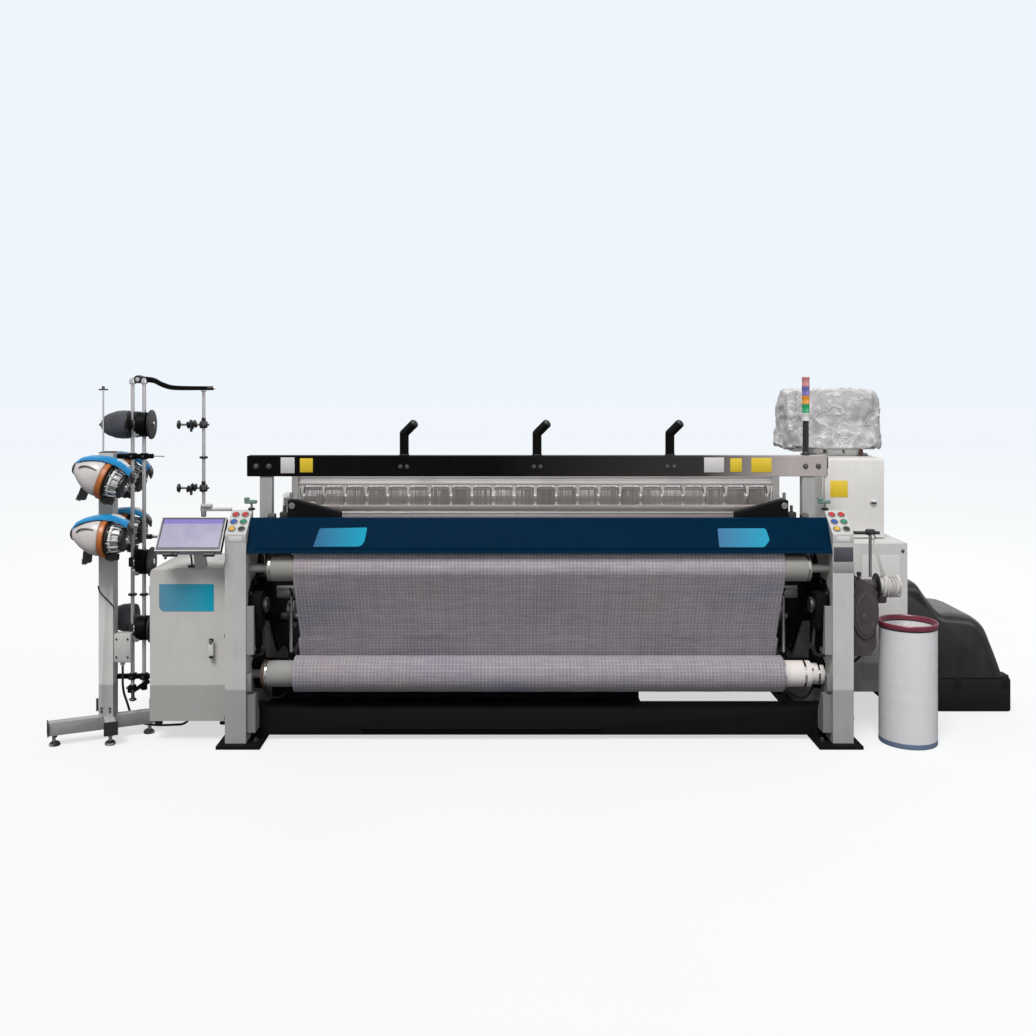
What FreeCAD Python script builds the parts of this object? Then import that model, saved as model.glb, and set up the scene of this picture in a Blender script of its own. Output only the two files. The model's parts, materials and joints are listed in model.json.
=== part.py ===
import FreeCAD, Part
import math
import os

# Shuttleless power loom for 2.3 m cloth, with its control cabinet, weft feeder stand,
# drive housing, selvage winder and waste can.  Millimetres.
# +X runs to the weaver's right, -Y towards the weaver, +Z up.
# The origin is the centre of the four anchor holes, at floor level.

V = FreeCAD.Vector
X_AXIS = V(1, 0, 0)
Y_AXIS = V(0, 1, 0)
Z_AXIS = V(0, 0, 1)

# ---- clearances -------------------------------------------------------------
RUN_GAP = 0.05       # radial clearance of a shaft or button in its bore
SOFT_GAP = 0.3       # clearance of cloth and yarn from the roller that carries it
SWING_GAP = 4.0      # clearance of a door from what stands beside it

# ---- loom frame -------------------------------------------------------------
INNER_HALF = 1342.0      # half the distance between the side frames
SIDE_T = 96.0            # thickness of a side frame
OUTER_HALF = INNER_HALF + SIDE_T
FRAME_MID = INNER_HALF + SIDE_T / 2
FRONT_Y = -750.0
REAR_Y = 700.0
POST_TOP = 932.0         # top of the front posts
WAIST_TOP = 880.0        # top of the side frames behind the posts
REAR_TOP = 1010.0        # top of the rear brackets for the back rest
POST_BACK_Y = -390.0
REAR_BRACKET_Y = 580.0
PLATE_T = 15.0           # foot plates
PLATE_IN = 72.0          # plate width inside the side frame
PLATE_OUT = 32.0         # plate width outside the side frame
PLATE_END = 40.0         # plate length past the side frame
ANCHOR_R = 9.0
ANCHOR_HALF_Y = 705.0
ANCHOR_INSET = 36.0      # anchor hole from the side frame's inner face
BEAM_GAP = 7.0           # tie beams stand this far above the foot plates
BEAM_H = 122.0
BEAM_D = 120.0
FRONT_BEAM_Y = -650.0
REAR_BEAM_Y = 560.0
APRON_T = 4.0
APRON_X = (62.0 - INNER_HALF, 490.0)
APRON_Y = -470.0
APRON_TOP = 330.0
RAIL_X = (-830.0, 290.0)
RAIL_H = 20.0
RAIL_Z = 56.0
RAIL_OUT = 22.0

# ---- upper beam and its posts -----------------------------------------------
TOP_BEAM_HALF = INNER_HALF + 58.0
TOP_BEAM_Y = (-470.0, -410.0)
TOP_BEAM_Z = (POST_TOP + 278.0, POST_TOP + 378.0)
TOP_BEAM_WALL = 5.0
UPRIGHT_W = 60.0
UPRIGHT_INSET = 5.0      # upright set in from the beam's two faces
UPRIGHT_LAP = 82.0       # upright lapped down the side frame
ARM_R = 22.0
ARM_WALL = 3.5
ARM_RISE = 106.0
ARM_REACH = (44.0, 44.0)
ARM_PITCH = 645.0
TOWER_X = INNER_HALF - 37.0
TOWER_R = 19.0
TOWER_POLE_R = 14.5
TOWER_STEPS = (167.0, 206.0, 249.0, 290.0, 334.0, 382.0)    # heights above the beam

# ---- cloth path -------------------------------------------------------------
SLEY_HALF = INNER_HALF - 142.0
REED_HALF = SLEY_HALF - 20.0
CLOTH_HALF = REED_HALF - 50.0
CLOTH_T = 1.2
NOSE_Y = -640.0
NOSE_Z = 980.0
NOSE_R = 25.0
BREAST_BACK_Y = -545.0
BREAST_BOTTOM = 900.0
ROLLER_HALF = INNER_HALF - 92.0
ROLLER_R = 60.0
JOURNAL_R = 20.0
JOURNAL_END = 88.0       # journals reach this far into the side frames
TAKE_UP_Y = -680.0
TAKE_UP_Z = 805.0
CLOTH_ROLL_Y = -620.0
CLOTH_ROLL_Z = 300.0
CLOTH_ROLL_R = 83.0
CLOTH_WOUND_HALF = CLOTH_HALF + 10.0
CLOTH_TUBE_R = 60.0
CLOTH_TUBE_X = (52.0 - INNER_HALF, INNER_HALF - 72.0)
CHUCK_R = 48.0
CHUCK_END = INNER_HALF - 12.0
FELL_Y = -508.0

# ---- front cover, temple covers, consoles -----------------------------------
COVER_T = 3.0
COVER_BOTTOM = 884.0
COVER_TOP_Y = -665.0
COVER_TOP = 1034.0
COVER_LIP = 30.0
TEMPLE_X = (CLOTH_HALF - 200.0, CLOTH_HALF + 50.0)
TEMPLE_Y = (-600.0, -545.0)
TEMPLE_Z = (1012.0, 1052.0, 1110.0)
TEMPLE_FOOT = 40.0
CONSOLE_BACK_Y = FRONT_Y + 150.0
CONSOLE_FRONT_Z = POST_TOP + 40.0
CONSOLE_RIDGE_Y = FRONT_Y + 130.0
CONSOLE_RIDGE_Z = POST_TOP + 133.0
BUTTON_R = 12.5
BUTTON_PROUD = 8.0
BUTTON_SUNK = 6.0
BUTTON_TRAVEL = 3.0
BUTTON_ROWS = (32.0, 80.0, 128.0)
BUTTON_COLUMN = 22.0

# ---- healds, sley, reed -----------------------------------------------------
HEALD_HALF = INNER_HALF - 127.0
HEALD_T = 20.0
HEALD_Y = (-210.0, -170.0)
STAVE_TOP_Z = (1139.0, 1200.0)
STAVE_BOTTOM_Z = (760.0, 820.0)
HEALD_STRUT = 20.0
HEDDLE_PACKS = 22
HEDDLE_PITCH = 2 * (HEALD_HALF - 32.5) / HEDDLE_PACKS
HEDDLE_PACK_W = HEDDLE_PITCH - 12.5
HEDDLE_PACK_T = 6.0
HEDDLE_CORNER = 18.0
GUIDE_X = (HEALD_HALF - 15.0, HEALD_HALF + 7.0, HEALD_HALF + 19.0)
GUIDE_Z = (700.0, 1205.0)
GUIDE_GAP = 0.5          # heald frame to the flange that guides it
GUIDE_T = 12.0
GUIDE_BRACKET_Z = (800.0, 870.0)
ROCK_Y = -400.0
ROCK_Z = 640.0
ROCK_R = 30.0
SLEY_Y = (-530.0, -470.0)
SLEY_Z = (925.0, 955.0)
SWORDS = 7
SWORD_PITCH = 2 * (SLEY_HALF - 60.0) / (SWORDS - 1)
SWORD_T = 30.0
REED_Y = (-502.0, -490.0)
REED_Z = (955.0, 975.0, 1045.0, 1077.0)
REED_END = 10.0

# ---- main shaft, warp beam, back rest, drop wires ---------------------------
MAIN_Y = 20.0
MAIN_Z = 420.0
MAIN_R = 25.0
PULLEY_R = 140.0
PULLEY_X = (OUTER_HALF + 42.0, OUTER_HALF + 102.0)
MAIN_END = OUTER_HALF + 122.0
ECCENTRIC_R = 70.0
ECCENTRIC_OUT = 18.0
ECCENTRIC_T = 36.0
ECCENTRIC_X = INNER_HALF - 82.0
BEAM_AXIS_Y = 480.0
BEAM_AXIS_Z = 530.0
BEAM_BARREL_R = 85.0
BEAM_FLANGE_R = 360.0
BEAM_FLANGE_T = 14.0
BEAM_HALF = INNER_HALF - 172.0
BEAM_JOURNAL_R = 30.0
WARP_WOUND_R = 280.0
BACK_REST_Y = 640.0
BANK_Y = (120.0, 270.0)
BANK_Z = (840.0, 1040.0)
BANK_BLOCK = 30.0
BANK_BARS = 4
BANK_BAR_W = 8.0
BANK_UPPER_Z = (1018.0, 1034.0)
BANK_LOWER_Z = (968.0, 984.0)
WARP_GAP_Y = (-235.0, -125.0)    # the healds work between these two edges of the warp

# ---- control cabinet and touch screen ---------------------------------------
CABINET_W = 366.0
CABINET_Y = (-670.0, -240.0)
CABINET_Z = (95.0, 802.0)
CABINET_WALL = 3.0       # sheet of the cabinet and of the control box
CASE_LIP = 22.0          # flange round the doorway of a sheet case
DOOR_T = 20.0
CORNER_R = 22.0
HANDLE_X = (-OUTER_HALF - 87.0, -OUTER_HALF - 62.0)
HANDLE_Z = (393.0, 486.0)
HANDLE_AXIS_Z = 470.0
HANDLE_OUT = 13.0
HANDLE_T = 12.0
SPINDLE_R = 8.0
SPINDLE_IN = 10.0
GLAND_R = 11.0
SCREEN_X = (-OUTER_HALF - 304.0, -OUTER_HALF - 5.0)
SCREEN_LOW = (-810.0, 905.0)
SCREEN_HIGH = (-690.0, 1043.0)
SCREEN_T = 30.0
SCREEN_PIVOT_OUT = 60.0
SCREEN_POST_X = (-OUTER_HALF - 162.0, -OUTER_HALF - 117.0)
SCREEN_POST_Y = (-660.0, -600.0)
SCREEN_EAR_T = 10.0
SCREEN_EAR_GAP = 2.0
SCREEN_PIN_R = 8.0
SCREEN_BOSS_R = 18.0

# ---- weft feeder stand ------------------------------------------------------
CABINET_LEFT = -OUTER_HALF - CABINET_W
STAND_X = (CABINET_LEFT - 243.0, CABINET_LEFT - 176.0)
STAND_Y = (-664.0, -597.0)
STAND_TOP = 1338.0
LEG_Z = (50.0, 110.0)
LEG_W = 45.0
LEG_TURN = 24.9
LEG_LONG = (262.0, 212.0)        # from the post's centre, left then right
LEG_CROSS = (124.0, 290.0)       # from the post's centre, front then rear
FOOT_STEM_R = 8.0
FOOT_PAD_R = 22.0
FOOT_PAD_H = 10.0
FOOT_INSET = 26.0
ROD_R = 9.0
ROD_X = (CABINET_LEFT - 106.0, CABINET_LEFT - 52.0)
ROD_Y = -600.0
ROD_BOTTOM = 220.0
SIDE_ROD_X = -OUTER_HALF - 145.0
SIDE_ROD_Y = -572.0
SIDE_ROD_R = 8.0
TOP_ARM_Y = (-606.0, -566.0)
TOP_ARM_T = 14.0
CROSSBAR_T = 16.0
CROSSBAR_Z = (282.0, 1318.0)
CROSSBAR_END = CABINET_LEFT - 8.0
SPINDLE_ROD_R = 6.0
UPPER_CONE_Z = 1467.0
LOWER_CONE_Z = 540.0
LOWER_CONE_Y = -520.0
CONE_R = (65.0, 25.0)
CONE_LONG = 125.0
CONE_BASE_X = ROD_X[0] - 17.0
DISC_R = 70.0
DISC_T = 12.0
DISC_X = CABINET_LEFT - 22.0
DISC_Z = (UPPER_CONE_Z, 821.0, 510.0)
DISC_HUB_R = 14.0
THIN_ROD = (STAND_X[0] + 17.0, STAND_Y[0] + 14.0, 1640.0)
THIN_ROD_R = 4.0
JUNCTION_X = (STAND_X[1], STAND_X[1] + 80.0)
JUNCTION_Y = (-655.0, -612.0)
JUNCTION_Z = (360.0, 495.0)

FEEDER_X = STAND_X[1] + 2.0
FEEDER_FRONT_Y = STAND_Y[0] - 96.0
FEEDER_REAR_Y = STAND_Y[1] + 97.0
FEEDER_LEVELS = ((1220.0, 20.0), (957.0, 5.0))   # height of the ring, tilt in degrees
FEEDER_RING_R = 90.0
FEEDER_RING_T = 24.0
FEEDER_HUB_R = 20.0
FEEDER_GAP = 2.0
FEEDER_DRUM_R = 65.0
FEEDER_DRUM_L = 60.0
FEEDER_DISC_R = 57.0
FEEDER_DISC_T = 10.0
FEEDER_HOUSING_R = (70.0, 36.0)
FEEDER_HOUSING_L = 141.0
FEEDER_SPINE_Z = (98.0, 126.0)
FEEDER_SPINE_W = 30.0
FEEDER_SPINE_X = (-105.0, 112.0)
FEEDER_ARM = 30.0

# ---- stand cable ------------------------------------------------------------
CABLE_D = 11.0
CABLE_PATH = (          # from the stand to the cabinet; X counts from the cabinet's left face
    (-141, -634, 345), (-141, -634, 300), (-145, -624, 252), (-148, -600, 202),
    (-147, -566, 158), (-144, -541, 112), (-137, -522, 68), (-119, -499, 37), (-86, -478, 17),
    (-41, -465, 8), (6, -460, 6), (52, -452, 6), (81, -451, 6), (103, -445, 15.5),
    (120, -440, 33), (129, -437, 56), (129, -437, 80))
CABLE_ROUTE = [(CABINET_LEFT + x, y, z) for x, y, z in CABLE_PATH]

# ---- right hand side --------------------------------------------------------
DRIVE_X = OUTER_HALF + 374.0
DRIVE_Y = (-410.0, 300.0)
DRIVE_Z = (152.0, 880.0)
DRIVE_WALL = 4.0
BOX_X = (OUTER_HALF + 4.0, OUTER_HALF + 312.0)
BOX_Y = (-250.0, 150.0)
BOX_TOP = 1280.0
BOX_DOOR_MARGIN = 5.0
LOCK_R = 16.0
LOCK_OUT = 6.0
LOCK_X = BOX_X[1] - 60.0
LOCK_Z = 1060.0
UNIT_X = (BOX_X[0] - 112.0, BOX_X[1] + 30.0)
UNIT_Y = (-100.0, 200.0)
UNIT_FOOT_X = (BOX_X[0] + 18.0, BOX_X[1] - 20.0)
UNIT_FOOT_H = 10.0
FILM_X = (UNIT_X[0] - 40.0, UNIT_X[1] + 35.0)
FILM_Y = (UNIT_Y[0] - 40.0, UNIT_Y[1] + 40.0)
FILM_Z = (BOX_TOP + 20.0, BOX_TOP + 356.0)
FILM_T = 3.0
FILM_SHOULDER = 45.0
WINDER_W = 62.0
WINDER_Y = (-710.0, -600.0)
WINDER_Z = (405.0, 778.0)
GUARD_T = 67.0
GUARD_Z = (525.0, 705.0)
GUARD_R = (52.0, 66.0)
SPOOL_Y = -655.0
SPOOL_Z = 716.0
SPOOL_GAP = 3.0
SPOOL_FLANGE_R = 61.0
SPOOL_FLANGE_T = 8.0
SPOOL_R = 35.0
SPOOL_L = 112.0
SPOOL_SHAFT_R = 8.0
SPOOL_SHAFT_IN = 30.0
GUIDE_ROD_R = 7.0
GUIDE_ROD_X = OUTER_HALF + 107.0
GUIDE_ARM_Z = (960.0, 974.0)
GUIDE_ARM_X = (OUTER_HALF + 2.0, OUTER_HALF + 142.0)
CAN_X = OUTER_HALF + 277.0
CAN_Y = -670.0
CAN_R = 130.0
CAN_RIM_R = 133.5
CAN_H = 560.0
CAN_RIM_H = 50.0
CAN_WALL = 3.0
CAN_FLOOR = 4.0
FLUFF_TOP = 515.0
HOOD_Y = (-240.0, 250.0)
HOOD_BASE_Z = 173.0
HOOD_BASE_X = DRIVE_X + 588.0
HOOD_WALL = 5.0
HOOD_SKEW = 8.0

JOURNAL_X = INNER_HALF + JOURNAL_END
WARP_MID_Z = NOSE_Z + NOSE_R + SOFT_GAP + CLOTH_T / 2
BACK_REST_Z = WARP_MID_Z - CLOTH_T / 2 - SOFT_GAP - ROLLER_R


# ---- shape helpers ----------------------------------------------------------
def box(x, y, z):
    """A block from three (low, high) pairs, in either order."""
    low = V(min(x), min(y), min(z))
    return Part.makeBox(abs(x[1] - x[0]), abs(y[1] - y[0]), abs(z[1] - z[0]), low)


def bar(radius, start, end):
    """A round bar between two points."""
    start, end = V(*start), V(*end)
    return Part.makeCylinder(radius, (end - start).Length, start, end - start)


def x_bar(radius, x, y, z):
    return bar(radius, (x[0], y, z), (x[1], y, z))


def prism(points, direction):
    """A flat outline of 3-D points pushed along a direction."""
    outline = Part.makePolygon([V(*p) for p in points] + [V(*points[0])])
    return Part.Face(outline).extrude(direction)


def x_prism(outline, x):
    return prism([(x[0], y, z) for y, z in outline], X_AXIS * (x[1] - x[0]))


def y_prism(outline, y):
    return prism([(px, y[0], pz) for px, pz in outline], Y_AXIS * (y[1] - y[0]))


def fuse(shapes):
    return shapes[0].multiFuse(shapes[1:]).removeSplitter()


def group(shapes):
    solids = []
    for shape in shapes:
        solids.extend(shape.Solids)
    return Part.makeCompound(solids)


def fitted(pieces):
    """Separate pieces, each bored where those listed before it pass through."""
    kept = []
    for piece in pieces:
        for earlier in kept:
            if piece.BoundBox.intersect(earlier.BoundBox):
                piece = piece.cut(earlier)
        kept.append(piece)
    return group(kept)


def save(name, shape):
    shape.exportStep("parts/%s.step" % name)


# ---- webs of cloth and yarn -------------------------------------------------
def turned(vector, angle):
    """A (y, z) pair turned by an angle."""
    c, s = math.cos(angle), math.sin(angle)
    return (vector[0] * c - vector[1] * s, vector[0] * s + vector[1] * c)


def web(stops, thickness, x):
    """A sheet that runs over rollers.  Each stop is (y, z, radius, side): radius to the
    middle of the sheet, side +1 where the roller lies left of the way the sheet runs and
    -1 right.  The two end stops are where the sheet starts and where it leaves its last
    roller."""
    tangents = []
    for first, second in zip(stops, stops[1:]):
        dy, dz = second[0] - first[0], second[1] - first[1]
        length = math.hypot(dy, dz)
        lift = second[3] * second[2] - first[3] * first[2]
        normal = turned((dy / length, dz / length), math.acos(lift / length))
        ends = []
        for stop in (first, second):
            reach = stop[3] * stop[2]
            ends.append((stop[0] - reach * normal[0], stop[1] - reach * normal[1]))
        tangents.append((ends[0], ends[1], normal))

    def edge_chain(offset):
        edges = []
        for i, (start, end, normal) in enumerate(tangents):
            points = [V(x[0], p[0] + normal[0] * offset, p[1] + normal[1] * offset)
                      for p in (start, end)]
            if i:
                y, z, radius, side = stops[i]
                before = tangents[i - 1][2]
                middle = (before[0] + normal[0], before[1] + normal[1])
                size = math.hypot(*middle) / (radius * side - offset)
                top = V(x[0], y - middle[0] / size, z - middle[1] / size)
                edges.append(Part.Arc(last, top, points[0]).toShape())
            edges.append(Part.makeLine(points[0], points[1]))
            last = points[1]
        return edges, edges[0].Vertexes[0].Point, last

    upper, upper_start, upper_end = edge_chain(thickness / 2)
    lower, lower_start, lower_end = edge_chain(-thickness / 2)
    ends = [Part.makeLine(upper_start, lower_start), Part.makeLine(upper_end, lower_end)]
    outline = Part.Wire(Part.__sortEdges__(upper + lower + ends))
    return Part.Face(outline).extrude(X_AXIS * (x[1] - x[0]))


def bores():
    """Bores of every shaft that the side frames carry, through both frames."""
    span = (-OUTER_HALF, OUTER_HALF)
    places = ((TAKE_UP_Y, TAKE_UP_Z, JOURNAL_R), (CLOTH_ROLL_Y, CLOTH_ROLL_Z, JOURNAL_R),
              (ROCK_Y, ROCK_Z, ROCK_R), (MAIN_Y, MAIN_Z, MAIN_R),
              (BEAM_AXIS_Y, BEAM_AXIS_Z, BEAM_JOURNAL_R),
              (BACK_REST_Y, BACK_REST_Z, JOURNAL_R))
    return [x_bar(radius + RUN_GAP, span, y, z) for y, z, radius in places]


# ---- frame ------------------------------------------------------------------
def base_frame():
    beam_z = (PLATE_T + BEAM_GAP, PLATE_T + BEAM_GAP + BEAM_H)
    pieces = []
    for side in (-1, 1):
        x = (side * (INNER_HALF - PLATE_IN), side * (OUTER_HALF + PLATE_OUT))
        plate = box(x, (FRONT_Y - PLATE_END, REAR_Y + PLATE_END), (0, PLATE_T))
        hole_x = side * (INNER_HALF - ANCHOR_INSET)
        for hole_y in (-ANCHOR_HALF_Y, ANCHOR_HALF_Y):
            plate = plate.cut(bar(ANCHOR_R, (hole_x, hole_y, -1), (hole_x, hole_y, PLATE_T + 1)))
        pieces.append(plate)
        pad = (side * (INNER_HALF - PLATE_IN), side * INNER_HALF)
        for y in (FRONT_BEAM_Y, REAR_BEAM_Y):
            pieces.append(box(pad, (y, y + BEAM_D), (PLATE_T, beam_z[0])))
    for y in (FRONT_BEAM_Y, REAR_BEAM_Y):
        pieces.append(box((-INNER_HALF, INNER_HALF), (y, y + BEAM_D), beam_z))
    shelf_y = (FRONT_BEAM_Y + BEAM_D, APRON_Y)
    pieces.append(box(APRON_X, shelf_y, (beam_z[1] - APRON_T, beam_z[1])))
    pieces.append(box(APRON_X, (APRON_Y - APRON_T, APRON_Y), (beam_z[1], APRON_TOP)))
    rail_y = (FRONT_BEAM_Y - RAIL_OUT, FRONT_BEAM_Y - RAIL_OUT + 8)
    rail_z = (RAIL_Z, RAIL_Z + RAIL_H)
    pieces.append(box(RAIL_X, rail_y, rail_z))
    for step in range(3):
        x = RAIL_X[0] + step * (RAIL_X[1] - RAIL_X[0] - 40) / 2
        pieces.append(box((x, x + 40), (rail_y[1], FRONT_BEAM_Y), rail_z))
    return fuse(pieces)


def side_frame(side):
    outline = ((FRONT_Y, PLATE_T), (FRONT_Y, POST_TOP), (POST_BACK_Y, POST_TOP),
               (POST_BACK_Y + 60, WAIST_TOP), (REAR_BRACKET_Y - 40, WAIST_TOP),
               (REAR_BRACKET_Y, REAR_TOP), (REAR_Y, REAR_TOP), (REAR_Y, PLATE_T))
    x = (INNER_HALF, OUTER_HALF) if side > 0 else (-OUTER_HALF, -INNER_HALF)
    casting = x_prism(outline, x)
    for bore in bores():
        casting = casting.cut(bore)
    return casting


def top_beam():
    wall = TOP_BEAM_WALL
    outer = box((-TOP_BEAM_HALF, TOP_BEAM_HALF), TOP_BEAM_Y, TOP_BEAM_Z)
    inner = box((-TOP_BEAM_HALF, TOP_BEAM_HALF), (TOP_BEAM_Y[0] + wall, TOP_BEAM_Y[1] - wall),
                (TOP_BEAM_Z[0] + wall, TOP_BEAM_Z[1] - wall))
    return outer.cut(inner)


def upper_supports():
    """Uprights under the top beam, and the channels that guide the healds."""
    shapes = []
    reach = GUIDE_GAP + GUIDE_T
    guide_y = (HEALD_Y[0] - reach, HEALD_Y[1] + HEALD_T + reach)
    middle = sum(guide_y) / 2
    for side in (-1, 1):
        x = (side * (INNER_HALF - UPRIGHT_W), side * INNER_HALF)
        y = (TOP_BEAM_Y[0] + UPRIGHT_INSET, TOP_BEAM_Y[1] - UPRIGHT_INSET)
        shapes.append(box(x, y, (POST_TOP - UPRIGHT_LAP, TOP_BEAM_Z[0])))
        back = (side * GUIDE_X[1], side * GUIDE_X[2])
        flange = (side * GUIDE_X[0], side * GUIDE_X[2])
        bracket = (side * GUIDE_X[2], side * INNER_HALF)
        shapes.append(fuse([
            box(back, guide_y, GUIDE_Z),
            box(flange, (guide_y[0], guide_y[0] + GUIDE_T), GUIDE_Z),
            box(flange, (guide_y[1] - GUIDE_T, guide_y[1]), GUIDE_Z),
            box(bracket, (middle - 20, middle + 20), GUIDE_BRACKET_Z)]))
    return group(shapes)


def bent_arms():
    """Three open pipe arms on the top beam, bent over to the right."""
    y = sum(TOP_BEAM_Y) / 2
    shapes = []
    for step in (-1, 0, 1):
        x = step * ARM_PITCH
        knee = (x, y, TOP_BEAM_Z[1] + ARM_RISE)
        tip = (x + ARM_REACH[0], y, knee[2] + ARM_REACH[1])
        arm = fuse([bar(ARM_R, (x, y, TOP_BEAM_Z[1]), knee),
                    Part.makeSphere(ARM_R, V(*knee)), bar(ARM_R, knee, tip)])
        shapes.append(arm.cut(bar(ARM_R - ARM_WALL, knee, (tip[0] + 1, y, tip[2] + 1))))
    return group(shapes)


def front_cover():
    slope = math.hypot(COVER_TOP_Y - FRONT_Y, COVER_TOP - COVER_BOTTOM)
    back = COVER_T * slope / (COVER_TOP - COVER_BOTTOM)
    t = COVER_T
    outline = ((FRONT_Y, COVER_BOTTOM), (COVER_TOP_Y, COVER_TOP),
               (COVER_TOP_Y + COVER_LIP, COVER_TOP), (COVER_TOP_Y + COVER_LIP, COVER_TOP - t),
               (COVER_TOP_Y + back, COVER_TOP - t), (FRONT_Y + back + t, COVER_BOTTOM + t),
               (FRONT_Y + COVER_LIP / 2, COVER_BOTTOM + t), (FRONT_Y + COVER_LIP / 2, COVER_BOTTOM))
    return x_prism(outline, (-INNER_HALF, INNER_HALF))


def breast_beam():
    x = (-INNER_HALF, INNER_HALF)
    return fuse([box(x, (NOSE_Y, BREAST_BACK_Y), (BREAST_BOTTOM, NOSE_Z)),
                 x_bar(NOSE_R, x, NOSE_Y, NOSE_Z)])


def temple_covers():
    shapes = []
    low, shoulder, high = TEMPLE_Z
    for side in (-1, 1):
        outline = [(side * x, z) for x, z in
                   ((TEMPLE_X[0], low), (TEMPLE_X[0], shoulder), (TEMPLE_X[1] - TEMPLE_FOOT, high),
                    (TEMPLE_X[1], high), (TEMPLE_X[1], NOSE_Z),
                    (TEMPLE_X[1] - TEMPLE_FOOT, NOSE_Z), (TEMPLE_X[1] - TEMPLE_FOOT, low))]
        shapes.append(y_prism(outline, TEMPLE_Y))
    return group(shapes)


# ---- consoles ---------------------------------------------------------------
CONSOLE_RUN = (CONSOLE_RIDGE_Y - FRONT_Y, CONSOLE_RIDGE_Z - CONSOLE_FRONT_Z)
CONSOLE_SLOPE = math.hypot(*CONSOLE_RUN)
CONSOLE_UP = (CONSOLE_RUN[0] / CONSOLE_SLOPE, CONSOLE_RUN[1] / CONSOLE_SLOPE)
BUTTON_OUT = V(0, -CONSOLE_UP[1], CONSOLE_UP[0])


def button_places(side):
    """Centres of the six buttons on a console's sloping face."""
    for distance in BUTTON_ROWS:
        for column in (-1, 1):
            yield V(side * FRAME_MID + column * BUTTON_COLUMN,
                    FRONT_Y + CONSOLE_UP[0] * distance,
                    CONSOLE_FRONT_Z + CONSOLE_UP[1] * distance)


def console(side):
    outline = ((FRONT_Y, POST_TOP), (FRONT_Y, CONSOLE_FRONT_Z), (CONSOLE_RIDGE_Y, CONSOLE_RIDGE_Z),
               (CONSOLE_BACK_Y, CONSOLE_RIDGE_Z), (CONSOLE_BACK_Y, POST_TOP))
    x = (INNER_HALF, OUTER_HALF) if side > 0 else (-OUTER_HALF, -INNER_HALF)
    shape = x_prism(outline, x)
    depth = BUTTON_SUNK + BUTTON_TRAVEL + SOFT_GAP
    for place in button_places(side):
        start = place - BUTTON_OUT * depth
        shape = shape.cut(Part.makeCylinder(BUTTON_R + RUN_GAP, depth + 20, start, BUTTON_OUT))
    return shape


def save_buttons():
    for side, word in ((-1, "left"), (1, "right")):
        for number, place in enumerate(button_places(side), 1):
            start = place - BUTTON_OUT * BUTTON_SUNK
            button = Part.makeCylinder(BUTTON_R, BUTTON_SUNK + BUTTON_PROUD, start, BUTTON_OUT)
            save("%s_button_%d" % (word, number), button)


# ---- cloth side rollers -----------------------------------------------------
def roller(y, z):
    return fuse([x_bar(ROLLER_R, (-ROLLER_HALF, ROLLER_HALF), y, z),
                 x_bar(JOURNAL_R, (-JOURNAL_X, JOURNAL_X), y, z)])


def cloth_tube():
    y, z = CLOTH_ROLL_Y, CLOTH_ROLL_Z
    return fuse([x_bar(CLOTH_TUBE_R, CLOTH_TUBE_X, y, z),
                 x_bar(CHUCK_R, (CLOTH_TUBE_X[1], CHUCK_END), y, z),
                 x_bar(JOURNAL_R, (-JOURNAL_X, JOURNAL_X), y, z)])


def cloth_winding():
    span = (-CLOTH_WOUND_HALF, CLOTH_WOUND_HALF)
    return x_bar(CLOTH_ROLL_R, span, CLOTH_ROLL_Y, CLOTH_ROLL_Z).cut(
        x_bar(CLOTH_TUBE_R, span, CLOTH_ROLL_Y, CLOTH_ROLL_Z))


def cloth_web():
    lift = SOFT_GAP + CLOTH_T / 2
    stops = ((FELL_Y, WARP_MID_Z, 0, 1), (NOSE_Y, NOSE_Z, NOSE_R + lift, 1),
             (TAKE_UP_Y, TAKE_UP_Z, ROLLER_R + lift, 1),
             (CLOTH_ROLL_Y, CLOTH_ROLL_Z, CLOTH_ROLL_R + lift, -1))
    return web(stops, CLOTH_T, (-CLOTH_HALF, CLOTH_HALF))


def warp_sheet():
    lift = SOFT_GAP + CLOTH_T / 2
    z = (WARP_MID_Z - CLOTH_T / 2, WARP_MID_Z + CLOTH_T / 2)
    span = (-CLOTH_HALF, CLOTH_HALF)
    front = box(span, (FELL_Y, WARP_GAP_Y[0]), z)
    stops = ((WARP_GAP_Y[1], WARP_MID_Z, 0, -1), (BACK_REST_Y, BACK_REST_Z, ROLLER_R + lift, -1),
             (BEAM_AXIS_Y, BEAM_AXIS_Z, WARP_WOUND_R + lift, -1))
    return group([front, web(stops, CLOTH_T, span)])


# ---- healds, sley and reed --------------------------------------------------
def heald_frame(front):
    y = (front, front + HEALD_T)
    strut_z = (STAVE_BOTTOM_Z[1], STAVE_TOP_Z[0])
    frame = [box((-HEALD_HALF, HEALD_HALF), y, STAVE_TOP_Z),
             box((-HEALD_HALF, HEALD_HALF), y, STAVE_BOTTOM_Z),
             box((-HEALD_HALF, HEALD_STRUT - HEALD_HALF), y, strut_z),
             box((HEALD_HALF - HEALD_STRUT, HEALD_HALF), y, strut_z)]
    middle = front + HEALD_T / 2
    pack_y = (middle - HEDDLE_PACK_T / 2, middle + HEDDLE_PACK_T / 2)
    packs = []
    for step in range(HEDDLE_PACKS):
        x = (step - (HEDDLE_PACKS - 1) / 2) * HEDDLE_PITCH
        half, corner = HEDDLE_PACK_W / 2, HEDDLE_CORNER
        top, bottom = STAVE_TOP_Z[0], STAVE_BOTTOM_Z[1]
        packs.append(y_prism(((x - half, bottom), (x - half, top - corner),
                              (x - half + corner, top), (x + half - corner, top),
                              (x + half, top - corner), (x + half, bottom)), pack_y))
    return group(frame + packs)


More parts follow.
